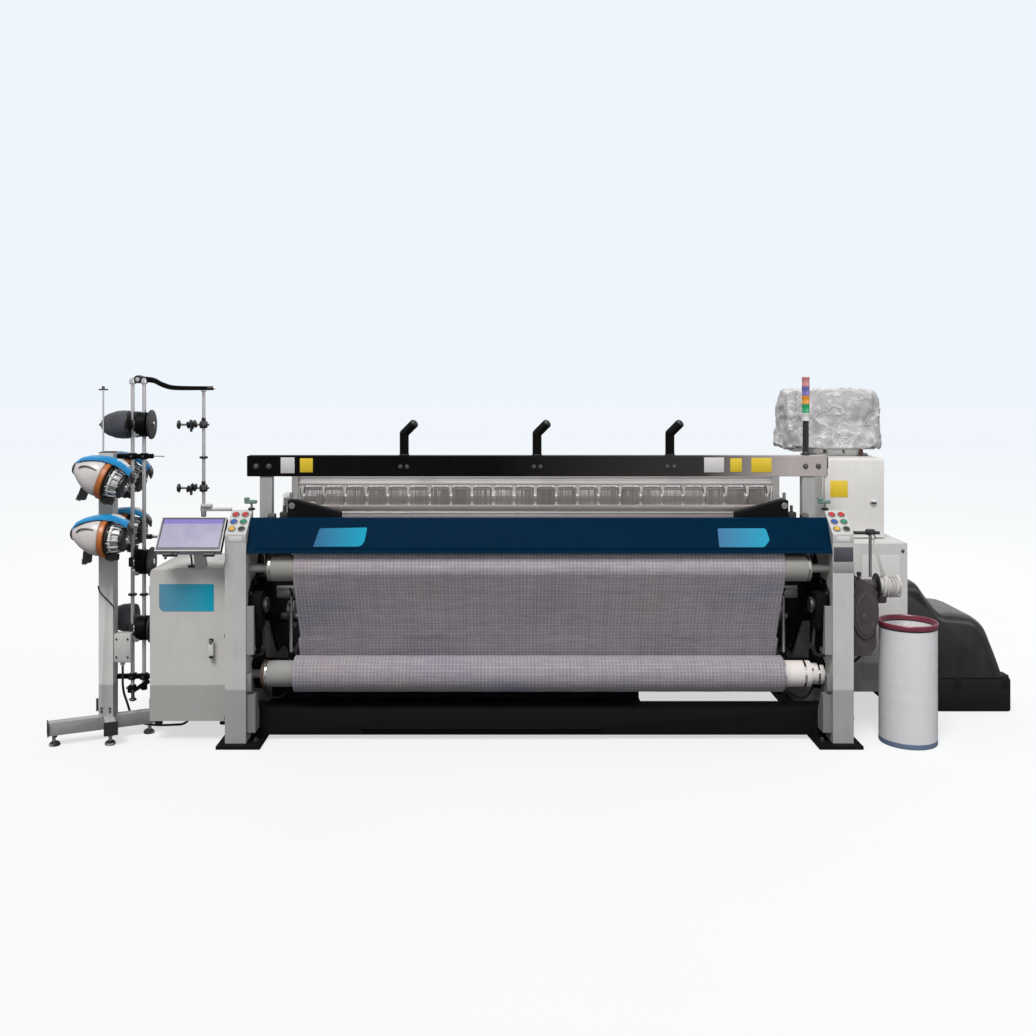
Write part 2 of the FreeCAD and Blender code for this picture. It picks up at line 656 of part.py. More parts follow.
def sley():
    middle = sum(SLEY_Y) / 2
    pieces = [x_bar(ROCK_R, (-JOURNAL_X, JOURNAL_X), ROCK_Y, ROCK_Z),
              box((-SLEY_HALF, SLEY_HALF), SLEY_Y, SLEY_Z)]
    outline = ((ROCK_Y - 24, ROCK_Z), (ROCK_Y + 24, ROCK_Z), (middle + 22, SLEY_Z[0]),
               (middle - 22, SLEY_Z[0]))
    for step in range(SWORDS):
        x = (step - (SWORDS - 1) / 2) * SWORD_PITCH
        pieces.append(x_prism(outline, (x - SWORD_T / 2, x + SWORD_T / 2)))
    return fuse(pieces)


def reed():
    outer = box((-REED_HALF, REED_HALF), REED_Y, (REED_Z[0], REED_Z[3]))
    slot = REED_HALF - REED_END
    return outer.cut(box((-slot, slot), REED_Y, (REED_Z[1], REED_Z[2])))


# ---- drive, warp beam, back rest --------------------------------------------
def main_shaft():
    pieces = [x_bar(MAIN_R, (-JOURNAL_X, MAIN_END), MAIN_Y, MAIN_Z),
              x_bar(PULLEY_R, PULLEY_X, MAIN_Y, MAIN_Z)]
    for side in (-1, 1):
        x = (side * ECCENTRIC_X, side * (ECCENTRIC_X + ECCENTRIC_T))
        pieces.append(x_bar(ECCENTRIC_R, x, MAIN_Y, MAIN_Z + ECCENTRIC_OUT))
    return fuse(pieces)


def warp_beam():
    y, z = BEAM_AXIS_Y, BEAM_AXIS_Z
    pieces = [x_bar(BEAM_BARREL_R, (-BEAM_HALF, BEAM_HALF), y, z),
              x_bar(BEAM_JOURNAL_R, (-JOURNAL_X, JOURNAL_X), y, z)]
    for side in (-1, 1):
        pieces.append(x_bar(BEAM_FLANGE_R, (side * BEAM_HALF, side * (BEAM_HALF + BEAM_FLANGE_T)), y, z))
    return fuse(pieces)


def warp_winding():
    span = (-BEAM_HALF, BEAM_HALF)
    wound = x_bar(WARP_WOUND_R, span, BEAM_AXIS_Y, BEAM_AXIS_Z)
    return wound.cut(x_bar(BEAM_BARREL_R, span, BEAM_AXIS_Y, BEAM_AXIS_Z))


def drop_wire_bank():
    pieces = []
    for side in (-1, 1):
        x = (side * (INNER_HALF - BANK_BLOCK), side * INNER_HALF)
        pieces.append(box(x, BANK_Y, BANK_Z))
    span = INNER_HALF - BANK_BLOCK
    pitch = (BANK_Y[1] - BANK_Y[0]) / BANK_BARS
    for step in range(BANK_BARS):
        middle = BANK_Y[0] + (step + 0.5) * pitch
        y = (middle - BANK_BAR_W / 2, middle + BANK_BAR_W / 2)
        pieces.append(box((-span, span), y, BANK_UPPER_Z))
        pieces.append(box((-span, span), y, BANK_LOWER_Z))
    return fuse(pieces)


# ---- control cabinet and touch screen ---------------------------------------
CABINET_X = (CABINET_LEFT, -OUTER_HALF)
DOOR_X = (CABINET_X[0] + SWING_GAP, CABINET_X[1] - SWING_GAP)
DOOR_Y = (CABINET_Y[0] - DOOR_T, CABINET_Y[0])


def rounded_corner(shape, x, z):
    """Rounds the edges that run along Y at one corner of the front outline."""
    edges = [e for e in shape.Edges
             if all(abs(v.X - x) < 0.01 and abs(v.Z - z) < 0.01 for v in e.Vertexes)]
    return shape.makeFillet(CORNER_R, edges)


def doorway(x, front, z):
    """The opening through the front wall of a sheet case."""
    lip = CASE_LIP
    return box((x[0] + lip, x[1] - lip), (front - 1, front + CABINET_WALL + 1), (z[0] + lip, z[1] - lip))


def screen_frame():
    """Middle of the screen's back, its upward direction and its rearward normal."""
    run = (SCREEN_HIGH[0] - SCREEN_LOW[0], SCREEN_HIGH[1] - SCREEN_LOW[1])
    length = math.hypot(*run)
    up = (run[0] / length, run[1] / length)
    rear = (up[1], -up[0])
    middle = ((SCREEN_LOW[0] + SCREEN_HIGH[0]) / 2 + rear[0] * SCREEN_T,
              (SCREEN_LOW[1] + SCREEN_HIGH[1]) / 2 + rear[1] * SCREEN_T)
    return middle, up, rear, length


def screen_pivot():
    middle, up, rear, length = screen_frame()
    return (middle[0] + rear[0] * SCREEN_PIVOT_OUT, middle[1] + rear[1] * SCREEN_PIVOT_OUT)


def control_cabinet():
    """Open-fronted sheet case with the screen's post and the cable gland."""
    shell = rounded_corner(box(CABINET_X, CABINET_Y, CABINET_Z), CABINET_X[0], CABINET_Z[1])
    wall = CABINET_WALL
    inner = box((CABINET_X[0] + wall, CABINET_X[1] - wall), (CABINET_Y[0] + wall, CABINET_Y[1] - wall),
                (CABINET_Z[0] + wall, CABINET_Z[1] - wall))
    shell = shell.cut(rounded_corner(inner, CABINET_X[0] + wall, CABINET_Z[1] - wall))
    shell = shell.cut(doorway(CABINET_X, CABINET_Y[0], CABINET_Z))
    pivot = screen_pivot()
    post = x_prism(((SCREEN_POST_Y[0], CABINET_Z[1]), (SCREEN_POST_Y[1], CABINET_Z[1]),
                    (pivot[0] + SCREEN_BOSS_R, pivot[1]), (pivot[0] - SCREEN_BOSS_R, pivot[1])),
                   SCREEN_POST_X)
    boss = x_bar(SCREEN_BOSS_R, SCREEN_POST_X, *pivot)
    end = CABLE_ROUTE[-1]
    gland = bar(GLAND_R, end, (end[0], end[1], CABINET_Z[0]))
    body = fuse([shell, post, boss, gland])
    return body.cut(x_bar(SCREEN_PIN_R + RUN_GAP, SCREEN_POST_X, *pivot))


def cabinet_door():
    z = (CABINET_Z[0] + SWING_GAP, CABINET_Z[1] - SWING_GAP)
    door = rounded_corner(box(DOOR_X, DOOR_Y, z), DOOR_X[0], z[1])
    x = sum(HANDLE_X) / 2
    return door.cut(bar(SPINDLE_R + RUN_GAP, (x, DOOR_Y[0] - 1, HANDLE_AXIS_Z),
                        (x, DOOR_Y[0] + SPINDLE_IN + SOFT_GAP, HANDLE_AXIS_Z)))


def cabinet_handle():
    x = sum(HANDLE_X) / 2
    y = DOOR_Y[0] - HANDLE_OUT
    grip = box(HANDLE_X, (y - HANDLE_T, y), HANDLE_Z)
    spindle = bar(SPINDLE_R, (x, y, HANDLE_AXIS_Z), (x, DOOR_Y[0] + SPINDLE_IN, HANDLE_AXIS_Z))
    return fuse([grip, spindle])


def touch_screen():
    middle, up, rear, length = screen_frame()
    pivot = screen_pivot()

    def at(along, back):
        return (middle[0] + up[0] * along + rear[0] * back,
                middle[1] + up[1] * along + rear[1] * back)

    half = length / 2
    panel = x_prism((at(-half, -SCREEN_T), at(half, -SCREEN_T), at(half, 0), at(-half, 0)), SCREEN_X)
    reach = SCREEN_PIVOT_OUT + 14
    outline = (at(-25, 0), at(25, 0), at(14, reach), at(-14, reach))
    gap = SCREEN_EAR_GAP
    left = (SCREEN_POST_X[0] - gap - SCREEN_EAR_T, SCREEN_POST_X[0] - gap)
    right = (SCREEN_POST_X[1] + gap, SCREEN_POST_X[1] + gap + SCREEN_EAR_T)
    pin = x_bar(SCREEN_PIN_R, (left[0], right[1]), *pivot)
    return fuse([panel, x_prism(outline, left), x_prism(outline, right), pin])


# ---- weft feeder stand ------------------------------------------------------
STAND_CENTRE = (sum(STAND_X) / 2, sum(STAND_Y) / 2)


def stand_leg(reach, angle):
    """A leg through the post's centre, its two reaches along a turned X axis."""
    leg = box((-reach[0], reach[1]), (-LEG_W / 2, LEG_W / 2), LEG_Z)
    feet = []
    for x in (FOOT_INSET - reach[0], reach[1] - FOOT_INSET):
        feet.append(bar(FOOT_STEM_R, (x, 0, FOOT_PAD_H), (x, 0, LEG_Z[0])))
        feet.append(bar(FOOT_PAD_R, (x, 0, 0), (x, 0, FOOT_PAD_H)))
    leg = fuse([leg] + feet)
    leg.rotate(V(0, 0, 0), Z_AXIS, angle)
    leg.translate(V(STAND_CENTRE[0], STAND_CENTRE[1], 0))
    return leg


def stand_frame():
    post = box(STAND_X, STAND_Y, (LEG_Z[1], STAND_TOP))
    long_leg = stand_leg(LEG_LONG, LEG_TURN)
    cross_leg = stand_leg(LEG_CROSS, LEG_TURN + 90)
    start = CABLE_ROUTE[0]
    gland = bar(GLAND_R, start, (start[0], start[1], JUNCTION_Z[0]))
    junction = box(JUNCTION_X, JUNCTION_Y, JUNCTION_Z)
    return fuse([post, long_leg, cross_leg, junction, gland])


def stand_rods():
    """Rods, cross bars, the top arm, cone spindles and black guide discs."""
    top_z = 1700.0
    t = TOP_ARM_T
    low = top_z - 46
    bend = ROD_X[1] + 56
    crest = ((ROD_X[0] - 20, top_z), (bend, top_z), (bend + 58, low), (SIDE_ROD_X + 53, low - 10))
    pieces = [bar(ROD_R, (x, ROD_Y, ROD_BOTTOM), (x, ROD_Y, top_z - t / 2)) for x in ROD_X]
    pieces.append(bar(SIDE_ROD_R, (SIDE_ROD_X, SIDE_ROD_Y, CABINET_Z[1]),
                      (SIDE_ROD_X, SIDE_ROD_Y, low - 10)))
    for (left, left_z), (right, right_z) in zip(crest, crest[1:]):
        pieces.append(y_prism(((left, left_z), (right, right_z), (right, right_z - t), (left, left_z - t)),
                              TOP_ARM_Y))
    half = CROSSBAR_T / 2
    for z in CROSSBAR_Z:
        pieces.append(box((STAND_X[1], CROSSBAR_END), (ROD_Y - half, ROD_Y + half), (z - half, z + half)))
    for z in DISC_Z:
        pieces.append(x_bar(DISC_HUB_R, (ROD_X[1], DISC_X), ROD_Y, z))
        pieces.append(x_bar(DISC_R, (DISC_X, DISC_X + DISC_T), ROD_Y, z))
    tip = CONE_BASE_X - CONE_LONG - 8
    pieces.append(x_bar(SPINDLE_ROD_R, (tip, ROD_X[1]), ROD_Y, UPPER_CONE_Z))
    pieces.append(x_bar(SPINDLE_ROD_R, (tip, ROD_X[0]), LOWER_CONE_Y, LOWER_CONE_Z))
    pieces.append(bar(SPINDLE_ROD_R, (ROD_X[0], ROD_Y, LOWER_CONE_Z),
                      (ROD_X[0], LOWER_CONE_Y, LOWER_CONE_Z)))
    for z in (1465.0, 1165.0):
        pieces.append(x_bar(SPINDLE_ROD_R, (SIDE_ROD_X - 125, SIDE_ROD_X), SIDE_ROD_Y, z))
        for x in (SIDE_ROD_X - 125, SIDE_ROD_X - 60):
            pieces.append(x_bar(24, (x, x + 14), SIDE_ROD_Y, z))
        pieces.append(box((SIDE_ROD_X - 14, SIDE_ROD_X + 14),
                          (SIDE_ROD_Y - 14, SIDE_ROD_Y + 14), (z - 16, z + 16)))
    pieces.append(box((SIDE_ROD_X - 14, -OUTER_HALF - 11), (SIDE_ROD_Y - 9, SIDE_ROD_Y + 9), (1056, 1074)))
    x, y, top = THIN_ROD
    thin = bar(THIN_ROD_R, (x, y, STAND_TOP), (x, y, top))
    return fitted(pieces + [thin])


def yarn_cone(y, z):
    start = V(CONE_BASE_X, y, z)
    cone = Part.makeCone(CONE_R[0], CONE_R[1], CONE_LONG, start, V(-1, 0, 0))
    return cone.cut(bar(SPINDLE_ROD_R + SOFT_GAP, (CONE_BASE_X + 1, y, z),
                        (CONE_BASE_X - CONE_LONG - 1, y, z)))


def feeder_placed(shape, y, z, tilt):
    shape.rotate(V(0, 0, 0), Y_AXIS, tilt)
    shape.translate(V(FEEDER_X, y, z))
    return shape


def feeder_body(y, z, tilt):
    """Housing, hub, storage drum, front disc and spine of one weft feeder."""
    ring = FEEDER_RING_T / 2
    face = ring + FEEDER_GAP
    drum_end = face + FEEDER_DRUM_L
    housing = Part.makeCone(FEEDER_HOUSING_R[0], FEEDER_HOUSING_R[1], FEEDER_HOUSING_L,
                            V(-face, 0, 0), V(-1, 0, 0))
    spine_x, spine_z = FEEDER_SPINE_X, FEEDER_SPINE_Z
    half = FEEDER_SPINE_W / 2
    shape = fuse([
        housing,
        x_bar(FEEDER_HUB_R, (-face, face), 0, 0),
        x_bar(FEEDER_DRUM_R, (face, drum_end), 0, 0),
        x_bar(FEEDER_DISC_R, (drum_end, drum_end + FEEDER_DISC_T), 0, 0),
        box((spine_x[0], -face - 20), (-half, half), (0, spine_z[1])),
        box(spine_x, (-half, half), spine_z)])
    shape = feeder_placed(shape, y, z, tilt)
    if y < STAND_CENTRE[1]:
        reach = (y + 20, STAND_Y[0])
    else:
        reach = (STAND_Y[1], y - 20)
    x = STAND_CENTRE[0] - FEEDER_ARM / 2
    lift = (FEEDER_X - STAND_CENTRE[0]) * math.tan(math.radians(tilt))
    arm = box((x, x + FEEDER_ARM), reach, (z + lift - 20, z + lift + 20))
    return fuse([shape, arm])


def feeder_ring(y, z, tilt):
    half = FEEDER_RING_T / 2
    ring = x_bar(FEEDER_RING_R, (-half, half), 0, 0)
    return feeder_placed(ring.cut(x_bar(FEEDER_HUB_R + RUN_GAP, (-half, half), 0, 0)), y, z, tilt)


def feeder_places():
    for z, tilt in FEEDER_LEVELS:
        for y in (FEEDER_FRONT_Y, FEEDER_REAR_Y):
            yield y, z, tilt


def stand_cable():
    """A tube along straight runs joined by tangent arcs."""
    points = [V(*p) for p in CABLE_ROUTE]
    edges = []
    length = 0.0
    start = points[0]
    for before, point, after in zip(points, points[1:], points[2:]):
        arrive = (before - point).normalize()
        leave = (after - point).normalize()
        turn = math.pi - arrive.getAngle(leave)
        trim = 0.45 * min((point - before).Length, (after - point).Length)
        radius = trim / math.tan(turn / 2)
        print("cable bend radius %.0f mm" % radius)
        first, last = point + arrive * trim, point + leave * trim
        inward = (arrive + leave).normalize()
        centre_out = radius / math.cos(turn / 2)
        top = point + inward * (centre_out - radius)
        edges.append(Part.makeLine(start, first))
        edges.append(Part.Arc(first, top, last).toShape())
        start = last
    edges.append(Part.makeLine(start, points[-1]))
    path = Part.Wire(edges)
    section = Part.Wire(Part.makeCircle(CABLE_D / 2, points[0], points[1] - points[0]))
    tube = path.makePipeShell([section], True, False, 2)
    length = sum(edge.Length for edge in edges)
    expected = math.pi * CABLE_D ** 2 / 4 * length
    print("cable length %.0f mm, volume ratio %.4f" % (length, tube.Volume / expected))
    return tube


# ---- right hand side --------------------------------------------------------
def drive_housing():
    wall = DRIVE_WALL
    outer = box((OUTER_HALF, DRIVE_X), DRIVE_Y, DRIVE_Z)
    return outer.cut(box((OUTER_HALF, DRIVE_X - wall), (DRIVE_Y[0] + wall, DRIVE_Y[1] - wall),
                         (DRIVE_Z[0] + wall, DRIVE_Z[1] - wall)))


def control_box():
    wall = CABINET_WALL
    z = (DRIVE_Z[1], BOX_TOP)
    inner = box((BOX_X[0] + wall, BOX_X[1] - wall), (BOX_Y[0] + wall, BOX_Y[1] - wall),
                (z[0] + wall, z[1] - wall))
    return box(BOX_X, BOX_Y, z).cut(inner).cut(doorway(BOX_X, BOX_Y[0], z))


def control_box_door():
    margin = BOX_DOOR_MARGIN
    y = (BOX_Y[0] - DOOR_T, BOX_Y[0])
    door = box((BOX_X[0] + margin, BOX_X[1] - margin), y, (DRIVE_Z[1] + margin, BOX_TOP - margin))
    lock = bar(LOCK_R, (LOCK_X, y[0] - LOCK_OUT, LOCK_Z), (LOCK_X, y[0], LOCK_Z))
    return fuse([door, lock])


def signal_tower():
    y = sum(TOP_BEAM_Y) / 2
    steps = [TOP_BEAM_Z[1] + step for step in TOWER_STEPS]
    shapes = [bar(TOWER_POLE_R, (TOWER_X, y, TOP_BEAM_Z[1]), (TOWER_X, y, steps[0]))]
    for low, high in zip(steps, steps[1:]):
        shapes.append(bar(TOWER_R, (TOWER_X, y, low), (TOWER_X, y, high)))
    return group(shapes)


def wrapped_unit():
    top = FILM_Z[1] - FILM_T - SOFT_GAP
    return fuse([box(UNIT_FOOT_X, UNIT_Y, (BOX_TOP, BOX_TOP + UNIT_FOOT_H)),
                 box(UNIT_X, UNIT_Y, (BOX_TOP + UNIT_FOOT_H, top))])


def plastic_film():
    """A loose cover, open below, with sloping shoulders."""
    def hull(x, z, y):
        s = FILM_SHOULDER
        return y_prism(((x[0], z[0]), (x[0], z[1] - 2 * s), (x[0] + s / 2, z[1]),
                        (x[1] - s / 2, z[1]), (x[1], z[1] - 2 * s), (x[1], z[0])), y)
    t = FILM_T
    outer = hull(FILM_X, FILM_Z, FILM_Y)
    inner = hull((FILM_X[0] + t, FILM_X[1] - t), (FILM_Z[0] - t, FILM_Z[1] - t),
                 (FILM_Y[0] + t, FILM_Y[1] - t))
    return outer.cut(inner)


def winder_housing():
    """Selvage winder's case on the right post, its belt guard and its yarn guide."""
    x = (OUTER_HALF, OUTER_HALF + WINDER_W)
    guard_x = (x[1], x[1] + GUARD_T)
    half = GUARD_R[0]
    pieces = [box(x, WINDER_Y, WINDER_Z),
              x_bar(GUARD_R[0], guard_x, SPOOL_Y, GUARD_Z[0]),
              x_bar(GUARD_R[1], guard_x, SPOOL_Y, GUARD_Z[1]),
              box(guard_x, (SPOOL_Y - half, SPOOL_Y + half), GUARD_Z),
              bar(GUIDE_ROD_R, (GUIDE_ROD_X, SPOOL_Y, GUARD_Z[1]), (GUIDE_ROD_X, SPOOL_Y, GUIDE_ARM_Z[1])),
              box(GUIDE_ARM_X, (SPOOL_Y - 9, SPOOL_Y + 9), GUIDE_ARM_Z)]
    depth = SPOOL_SHAFT_IN + SOFT_GAP
    return fuse(pieces).cut(x_bar(SPOOL_SHAFT_R + RUN_GAP, (guard_x[1] - depth, guard_x[1] + 1),
                                  SPOOL_Y, SPOOL_Z))


def winder_spool():
    face = OUTER_HALF + WINDER_W + GUARD_T
    flange = face + SPOOL_GAP
    barrel = flange + SPOOL_FLANGE_T
    return fuse([x_bar(SPOOL_SHAFT_R, (face - SPOOL_SHAFT_IN, flange), SPOOL_Y, SPOOL_Z),
                 x_bar(SPOOL_FLANGE_R, (flange, barrel), SPOOL_Y, SPOOL_Z),
                 x_bar(SPOOL_R, (barrel, barrel + SPOOL_L), SPOOL_Y, SPOOL_Z)])


def waste_can():
    body = fuse([bar(CAN_R, (CAN_X, CAN_Y, 0), (CAN_X, CAN_Y, CAN_H)),
                 bar(CAN_RIM_R, (CAN_X, CAN_Y, CAN_H - CAN_RIM_H), (CAN_X, CAN_Y, CAN_H))])
    return body.cut(bar(CAN_R - CAN_WALL, (CAN_X, CAN_Y, CAN_FLOOR), (CAN_X, CAN_Y, CAN_H + 1)))


def waste_fluff():
    return bar(CAN_R - CAN_WALL - SOFT_GAP, (CAN_X, CAN_Y, CAN_FLOOR), (CAN_X, CAN_Y, FLUFF_TOP))


def motor_hood():
    """A fan motor's moulded hood on its floor box."""
    def shell(inset):
        low, left = HOOD_BASE_Z, DRIVE_X + inset
        skew = inset + HOOD_SKEW * (inset > 0)
        crest = ((114 - inset, 668 - skew), (248 - inset, 498 - skew), (403 - inset, 472 - skew),
                 (468 - skew, 410 - inset), (501 - skew, 332), (538 - skew, 240), (558 - skew, low))
        return [(left, low), (left, 650 - skew)] + [(DRIVE_X + x, z) for x, z in crest]
    wall = HOOD_WALL
    hood = y_prism(shell(0), HOOD_Y).cut(
        y_prism(shell(wall), (HOOD_Y[0] + wall, HOOD_Y[1] - wall)))
    base = box((DRIVE_X, HOOD_BASE_X), HOOD_Y, (0, HOOD_BASE_Z))
    return group([hood, base])


os.makedirs("parts", exist_ok=True)
save("base_frame", base_frame())
save("left_side_frame", side_frame(-1))
save("right_side_frame", side_frame(1))
save("top_beam", top_beam())
save("upper_supports", upper_supports())
save("bent_arms", bent_arms())
save("front_cover", front_cover())
save("breast_beam", breast_beam())
save("temple_covers", temple_covers())
save("consoles", group([console(-1), console(1)]))
save_buttons()
save("take_up_roller", roller(TAKE_UP_Y, TAKE_UP_Z))
save("cloth_tube", cloth_tube())
save("cloth_winding", cloth_winding())
save("cloth_web", cloth_web())
save("warp_sheet", warp_sheet())
save("front_heald_frame", heald_frame(HEALD_Y[0]))
save("rear_heald_frame", heald_frame(HEALD_Y[1]))
save("sley", sley())
save("reed", reed())
save("main_shaft", main_shaft())
save("warp_beam", warp_beam())
save("warp_winding", warp_winding())
save("back_rest_roller", roller(BACK_REST_Y, BACK_REST_Z))
save("drop_wire_bank", drop_wire_bank())
save("control_cabinet", control_cabinet())
save("cabinet_door", cabinet_door())
save("cabinet_handle", cabinet_handle())
save("touch_screen", touch_screen())
save("stand_frame", stand_frame())
save("stand_rods", stand_rods())
save("yarn_cones", group([yarn_cone(ROD_Y, UPPER_CONE_Z), yarn_cone(LOWER_CONE_Y, LOWER_CONE_Z)]))
save("feeder_bodies", group([feeder_body(*place) for place in feeder_places()]))
for number, place in enumerate(feeder_places(), 1):
    save("feeder_ring_%d" % number, feeder_ring(*place))
save("stand_cable", stand_cable())
save("drive_housing", drive_housing())
save("control_box", control_box())
save("control_box_door", control_box_door())
save("signal_tower", signal_tower())
save("wrapped_unit", wrapped_unit())
save("plastic_film", plastic_film())
save("winder_housing", winder_housing())
save("winder_spool", winder_spool())
save("waste_can", waste_can())
save("waste_fluff", waste_fluff())
save("motor_hood", motor_hood())
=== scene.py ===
import json
import math
import random

import bmesh
import bpy
from mathutils import Matrix, Vector, noise


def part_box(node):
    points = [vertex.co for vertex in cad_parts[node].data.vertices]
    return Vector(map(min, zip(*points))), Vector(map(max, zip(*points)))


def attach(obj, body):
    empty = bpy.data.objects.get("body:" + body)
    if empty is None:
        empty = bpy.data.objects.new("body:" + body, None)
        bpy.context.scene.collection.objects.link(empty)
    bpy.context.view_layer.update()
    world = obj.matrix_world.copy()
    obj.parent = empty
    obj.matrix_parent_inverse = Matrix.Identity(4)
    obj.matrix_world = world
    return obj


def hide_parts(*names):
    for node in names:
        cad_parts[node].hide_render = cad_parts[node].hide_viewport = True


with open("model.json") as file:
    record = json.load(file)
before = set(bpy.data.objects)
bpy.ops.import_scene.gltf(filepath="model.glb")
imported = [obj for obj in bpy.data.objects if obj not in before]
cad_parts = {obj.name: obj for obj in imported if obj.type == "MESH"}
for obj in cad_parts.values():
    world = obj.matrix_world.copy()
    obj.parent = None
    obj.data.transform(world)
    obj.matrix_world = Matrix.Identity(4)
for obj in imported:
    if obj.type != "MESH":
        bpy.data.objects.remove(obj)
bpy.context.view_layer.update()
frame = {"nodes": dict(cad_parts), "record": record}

# A wide power loom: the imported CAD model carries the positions, and this script gives each part
# its finished shape and surface.  Shapes are drawn in millimetres and scaled when they are done.

MM = 0.001
SHARP = math.radians(26)
Y_AXIS, Z_AXIS = Vector((0, 1, 0)), Vector((0, 0, 1))
TO_TOP, TO_RIGHT, TO_FRONT = (0, 0, 1), (1, 0, 0), (0, -1, 0)


def span(node):
    """Lowest and highest corner of a CAD node, in millimetres."""
    low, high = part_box(node)
    return Vector(low) / MM, Vector(high) / MM


def middle(node):
    low, high = span(node)
    return (low + high) / 2


def joint(name):
    return next(j for j in frame["record"]["behaviour"]["joints"] if j["name"] == name)


# ---- shapes -----------------------------------------------------------------
def block(x, y, z):
    """A block from three (low, high) pairs."""
    size = [abs(v[1] - v[0]) for v in (x, y, z)]
    centre = [(v[1] + v[0]) / 2 for v in (x, y, z)]
    bm = bmesh.new()
    bmesh.ops.create_cube(bm, size=1, matrix=Matrix.LocRotScale(Vector(centre), None, Vector(size)))
    return bm


def loft(rings, closed=True, caps=True):
    """Skins a list of point rings; u follows the ring and v the run from ring to ring, in metres."""
    bm = bmesh.new()
    uv = bm.loops.layers.uv.new("along")
    grid = [[bm.verts.new(p) for p in ring] for ring in rings]
    count = len(rings[0])
    run_v = [0.0]
    for a, b in zip(rings, rings[1:]):
        run_v.append(run_v[-1] + (Vector(b[0]) - Vector(a[0])).length * MM)
    widest = max(rings, key=lambda ring: (Vector(ring[1]) - Vector(ring[0])).length)
    run_u = [0.0]
    for k in range(count):
        run_u.append(run_u[-1] + (Vector(widest[(k + 1) % count]) - Vector(widest[k])).length * MM)
    steps = count if closed else count - 1
    for i in range(len(rings) - 1):
        for k in range(steps):
            n = (k + 1) % count
            face = bm.faces.new((grid[i][k], grid[i][n], grid[i + 1][n], grid[i + 1][k]))
            marks = ((k, i), (k + 1, i), (k + 1, i + 1), (k, i + 1))
            for loop, (a, b) in zip(face.loops, marks):
                loop[uv].uv = (run_u[a], run_v[b])
    if closed and caps:
        for ring in (grid[0], grid[-1]):
            bm.faces.new(ring)
    return bm


def prism(outline, axis, low, high):
    """A flat outline pushed along x, y or z; its points give the other two axes in order."""
    order = {"x": (2, 0, 1), "y": (0, 2, 1), "z": (0, 1, 2)}[axis]
    rings = []
    for level in (low, high):
        rings.append([Vector([(p[0], p[1], level)[k] for k in order]) for p in outline])
    return loft(rings)


def frame_of(direction):
    direction = Vector(direction).normalized()
    side = direction.cross(Z_AXIS if abs(direction.z) < 0.9 else Y_AXIS).normalized()
    return direction, side, side.cross(direction)


def lathe(profile, origin, direction, sides=28):
    """A turned piece from (along, radius) pairs; a first or last radius of 0 closes to a point."""
    direction, side, up = frame_of(direction)
    rings = []
    for along, radius in profile:
        centre = Vector(origin) + direction * along
        rings.append([centre + (side * math.cos(a) + up * math.sin(a)) * max(radius,
            0.02) for a in (k * math.tau / sides for k in range(sides))])
    return loft(rings)


def hollow(profile, origin, direction, sides=40):
    """A turned ring: the profile is a closed loop of (along, radius) pairs."""
    direction, side, up = frame_of(direction)
    bm = bmesh.new()
    uv = bm.loops.layers.uv.new("along")
    rings = []
    for along, radius in profile:
        centre = Vector(origin) + direction * along
        rings.append([bm.verts.new(centre + (side * math.cos(a) + up * math.sin(a)) * radius) for a in
            (k * math.tau / sides for k in range(sides))])
    count = len(rings)
    turn_long = math.tau * max(r for _, r in profile) * MM
    run = [0.0]
    for a, b in zip(profile, profile[1:]):
        run.append(run[-1] + math.hypot(b[0] - a[0], b[1] - a[1]) * MM)
    run.append(run[-1])
    for i in range(count):
        for k in range(sides):
            n = (k + 1) % sides
            j = (i + 1) % count
            face = bm.faces.new((rings[i][k], rings[i][n], rings[j][n], rings[j][k]))
            for loop, (a, b) in zip(face.loops, ((k, i), (k + 1, i), (k + 1, i + 1), (k, i + 1))):
                loop[uv].uv = (run[b], a / sides * turn_long)
    return bm


def smooth_path(points, steps=6):
    """A rounded run through points, for hoses and bent rods."""
    points = [Vector(p) for p in points]
    path = []
    for i in range(len(points) - 1):
        p0, p1 = points[max(i - 1, 0)], points[i]
        p2, p3 = points[i + 1], points[min(i + 2, len(points) - 1)]
        for k in range(steps):
            t = k / steps
            path.append(0.5 * ((2 * p1) + (p2 - p0) * t + (2 * p0 - 5 * p1 + 4 * p2 - p3) * t * t +
                (3 * p1 - p0 - 3 * p2 + p3) * t ** 3))
    return path + [points[-1]]


def pipe(points, radius, sides=12):
    """A round bar or hose along points."""
    points = [Vector(p) for p in points]
    _, side, up = frame_of(points[1] - points[0])
    rings = []
    for i, point in enumerate(points):
        ahead = points[min(i + 1, len(points) - 1)] - points[max(i - 1, 0)]
        ahead.normalize()
        side = (side - ahead * side.dot(ahead)).normalized()
        up = ahead.cross(side)
        rings.append([point + (side * math.cos(a) + up * math.sin(a)) * radius for a in
            (k * math.tau / sides for k in range(sides))])
    return loft(rings)


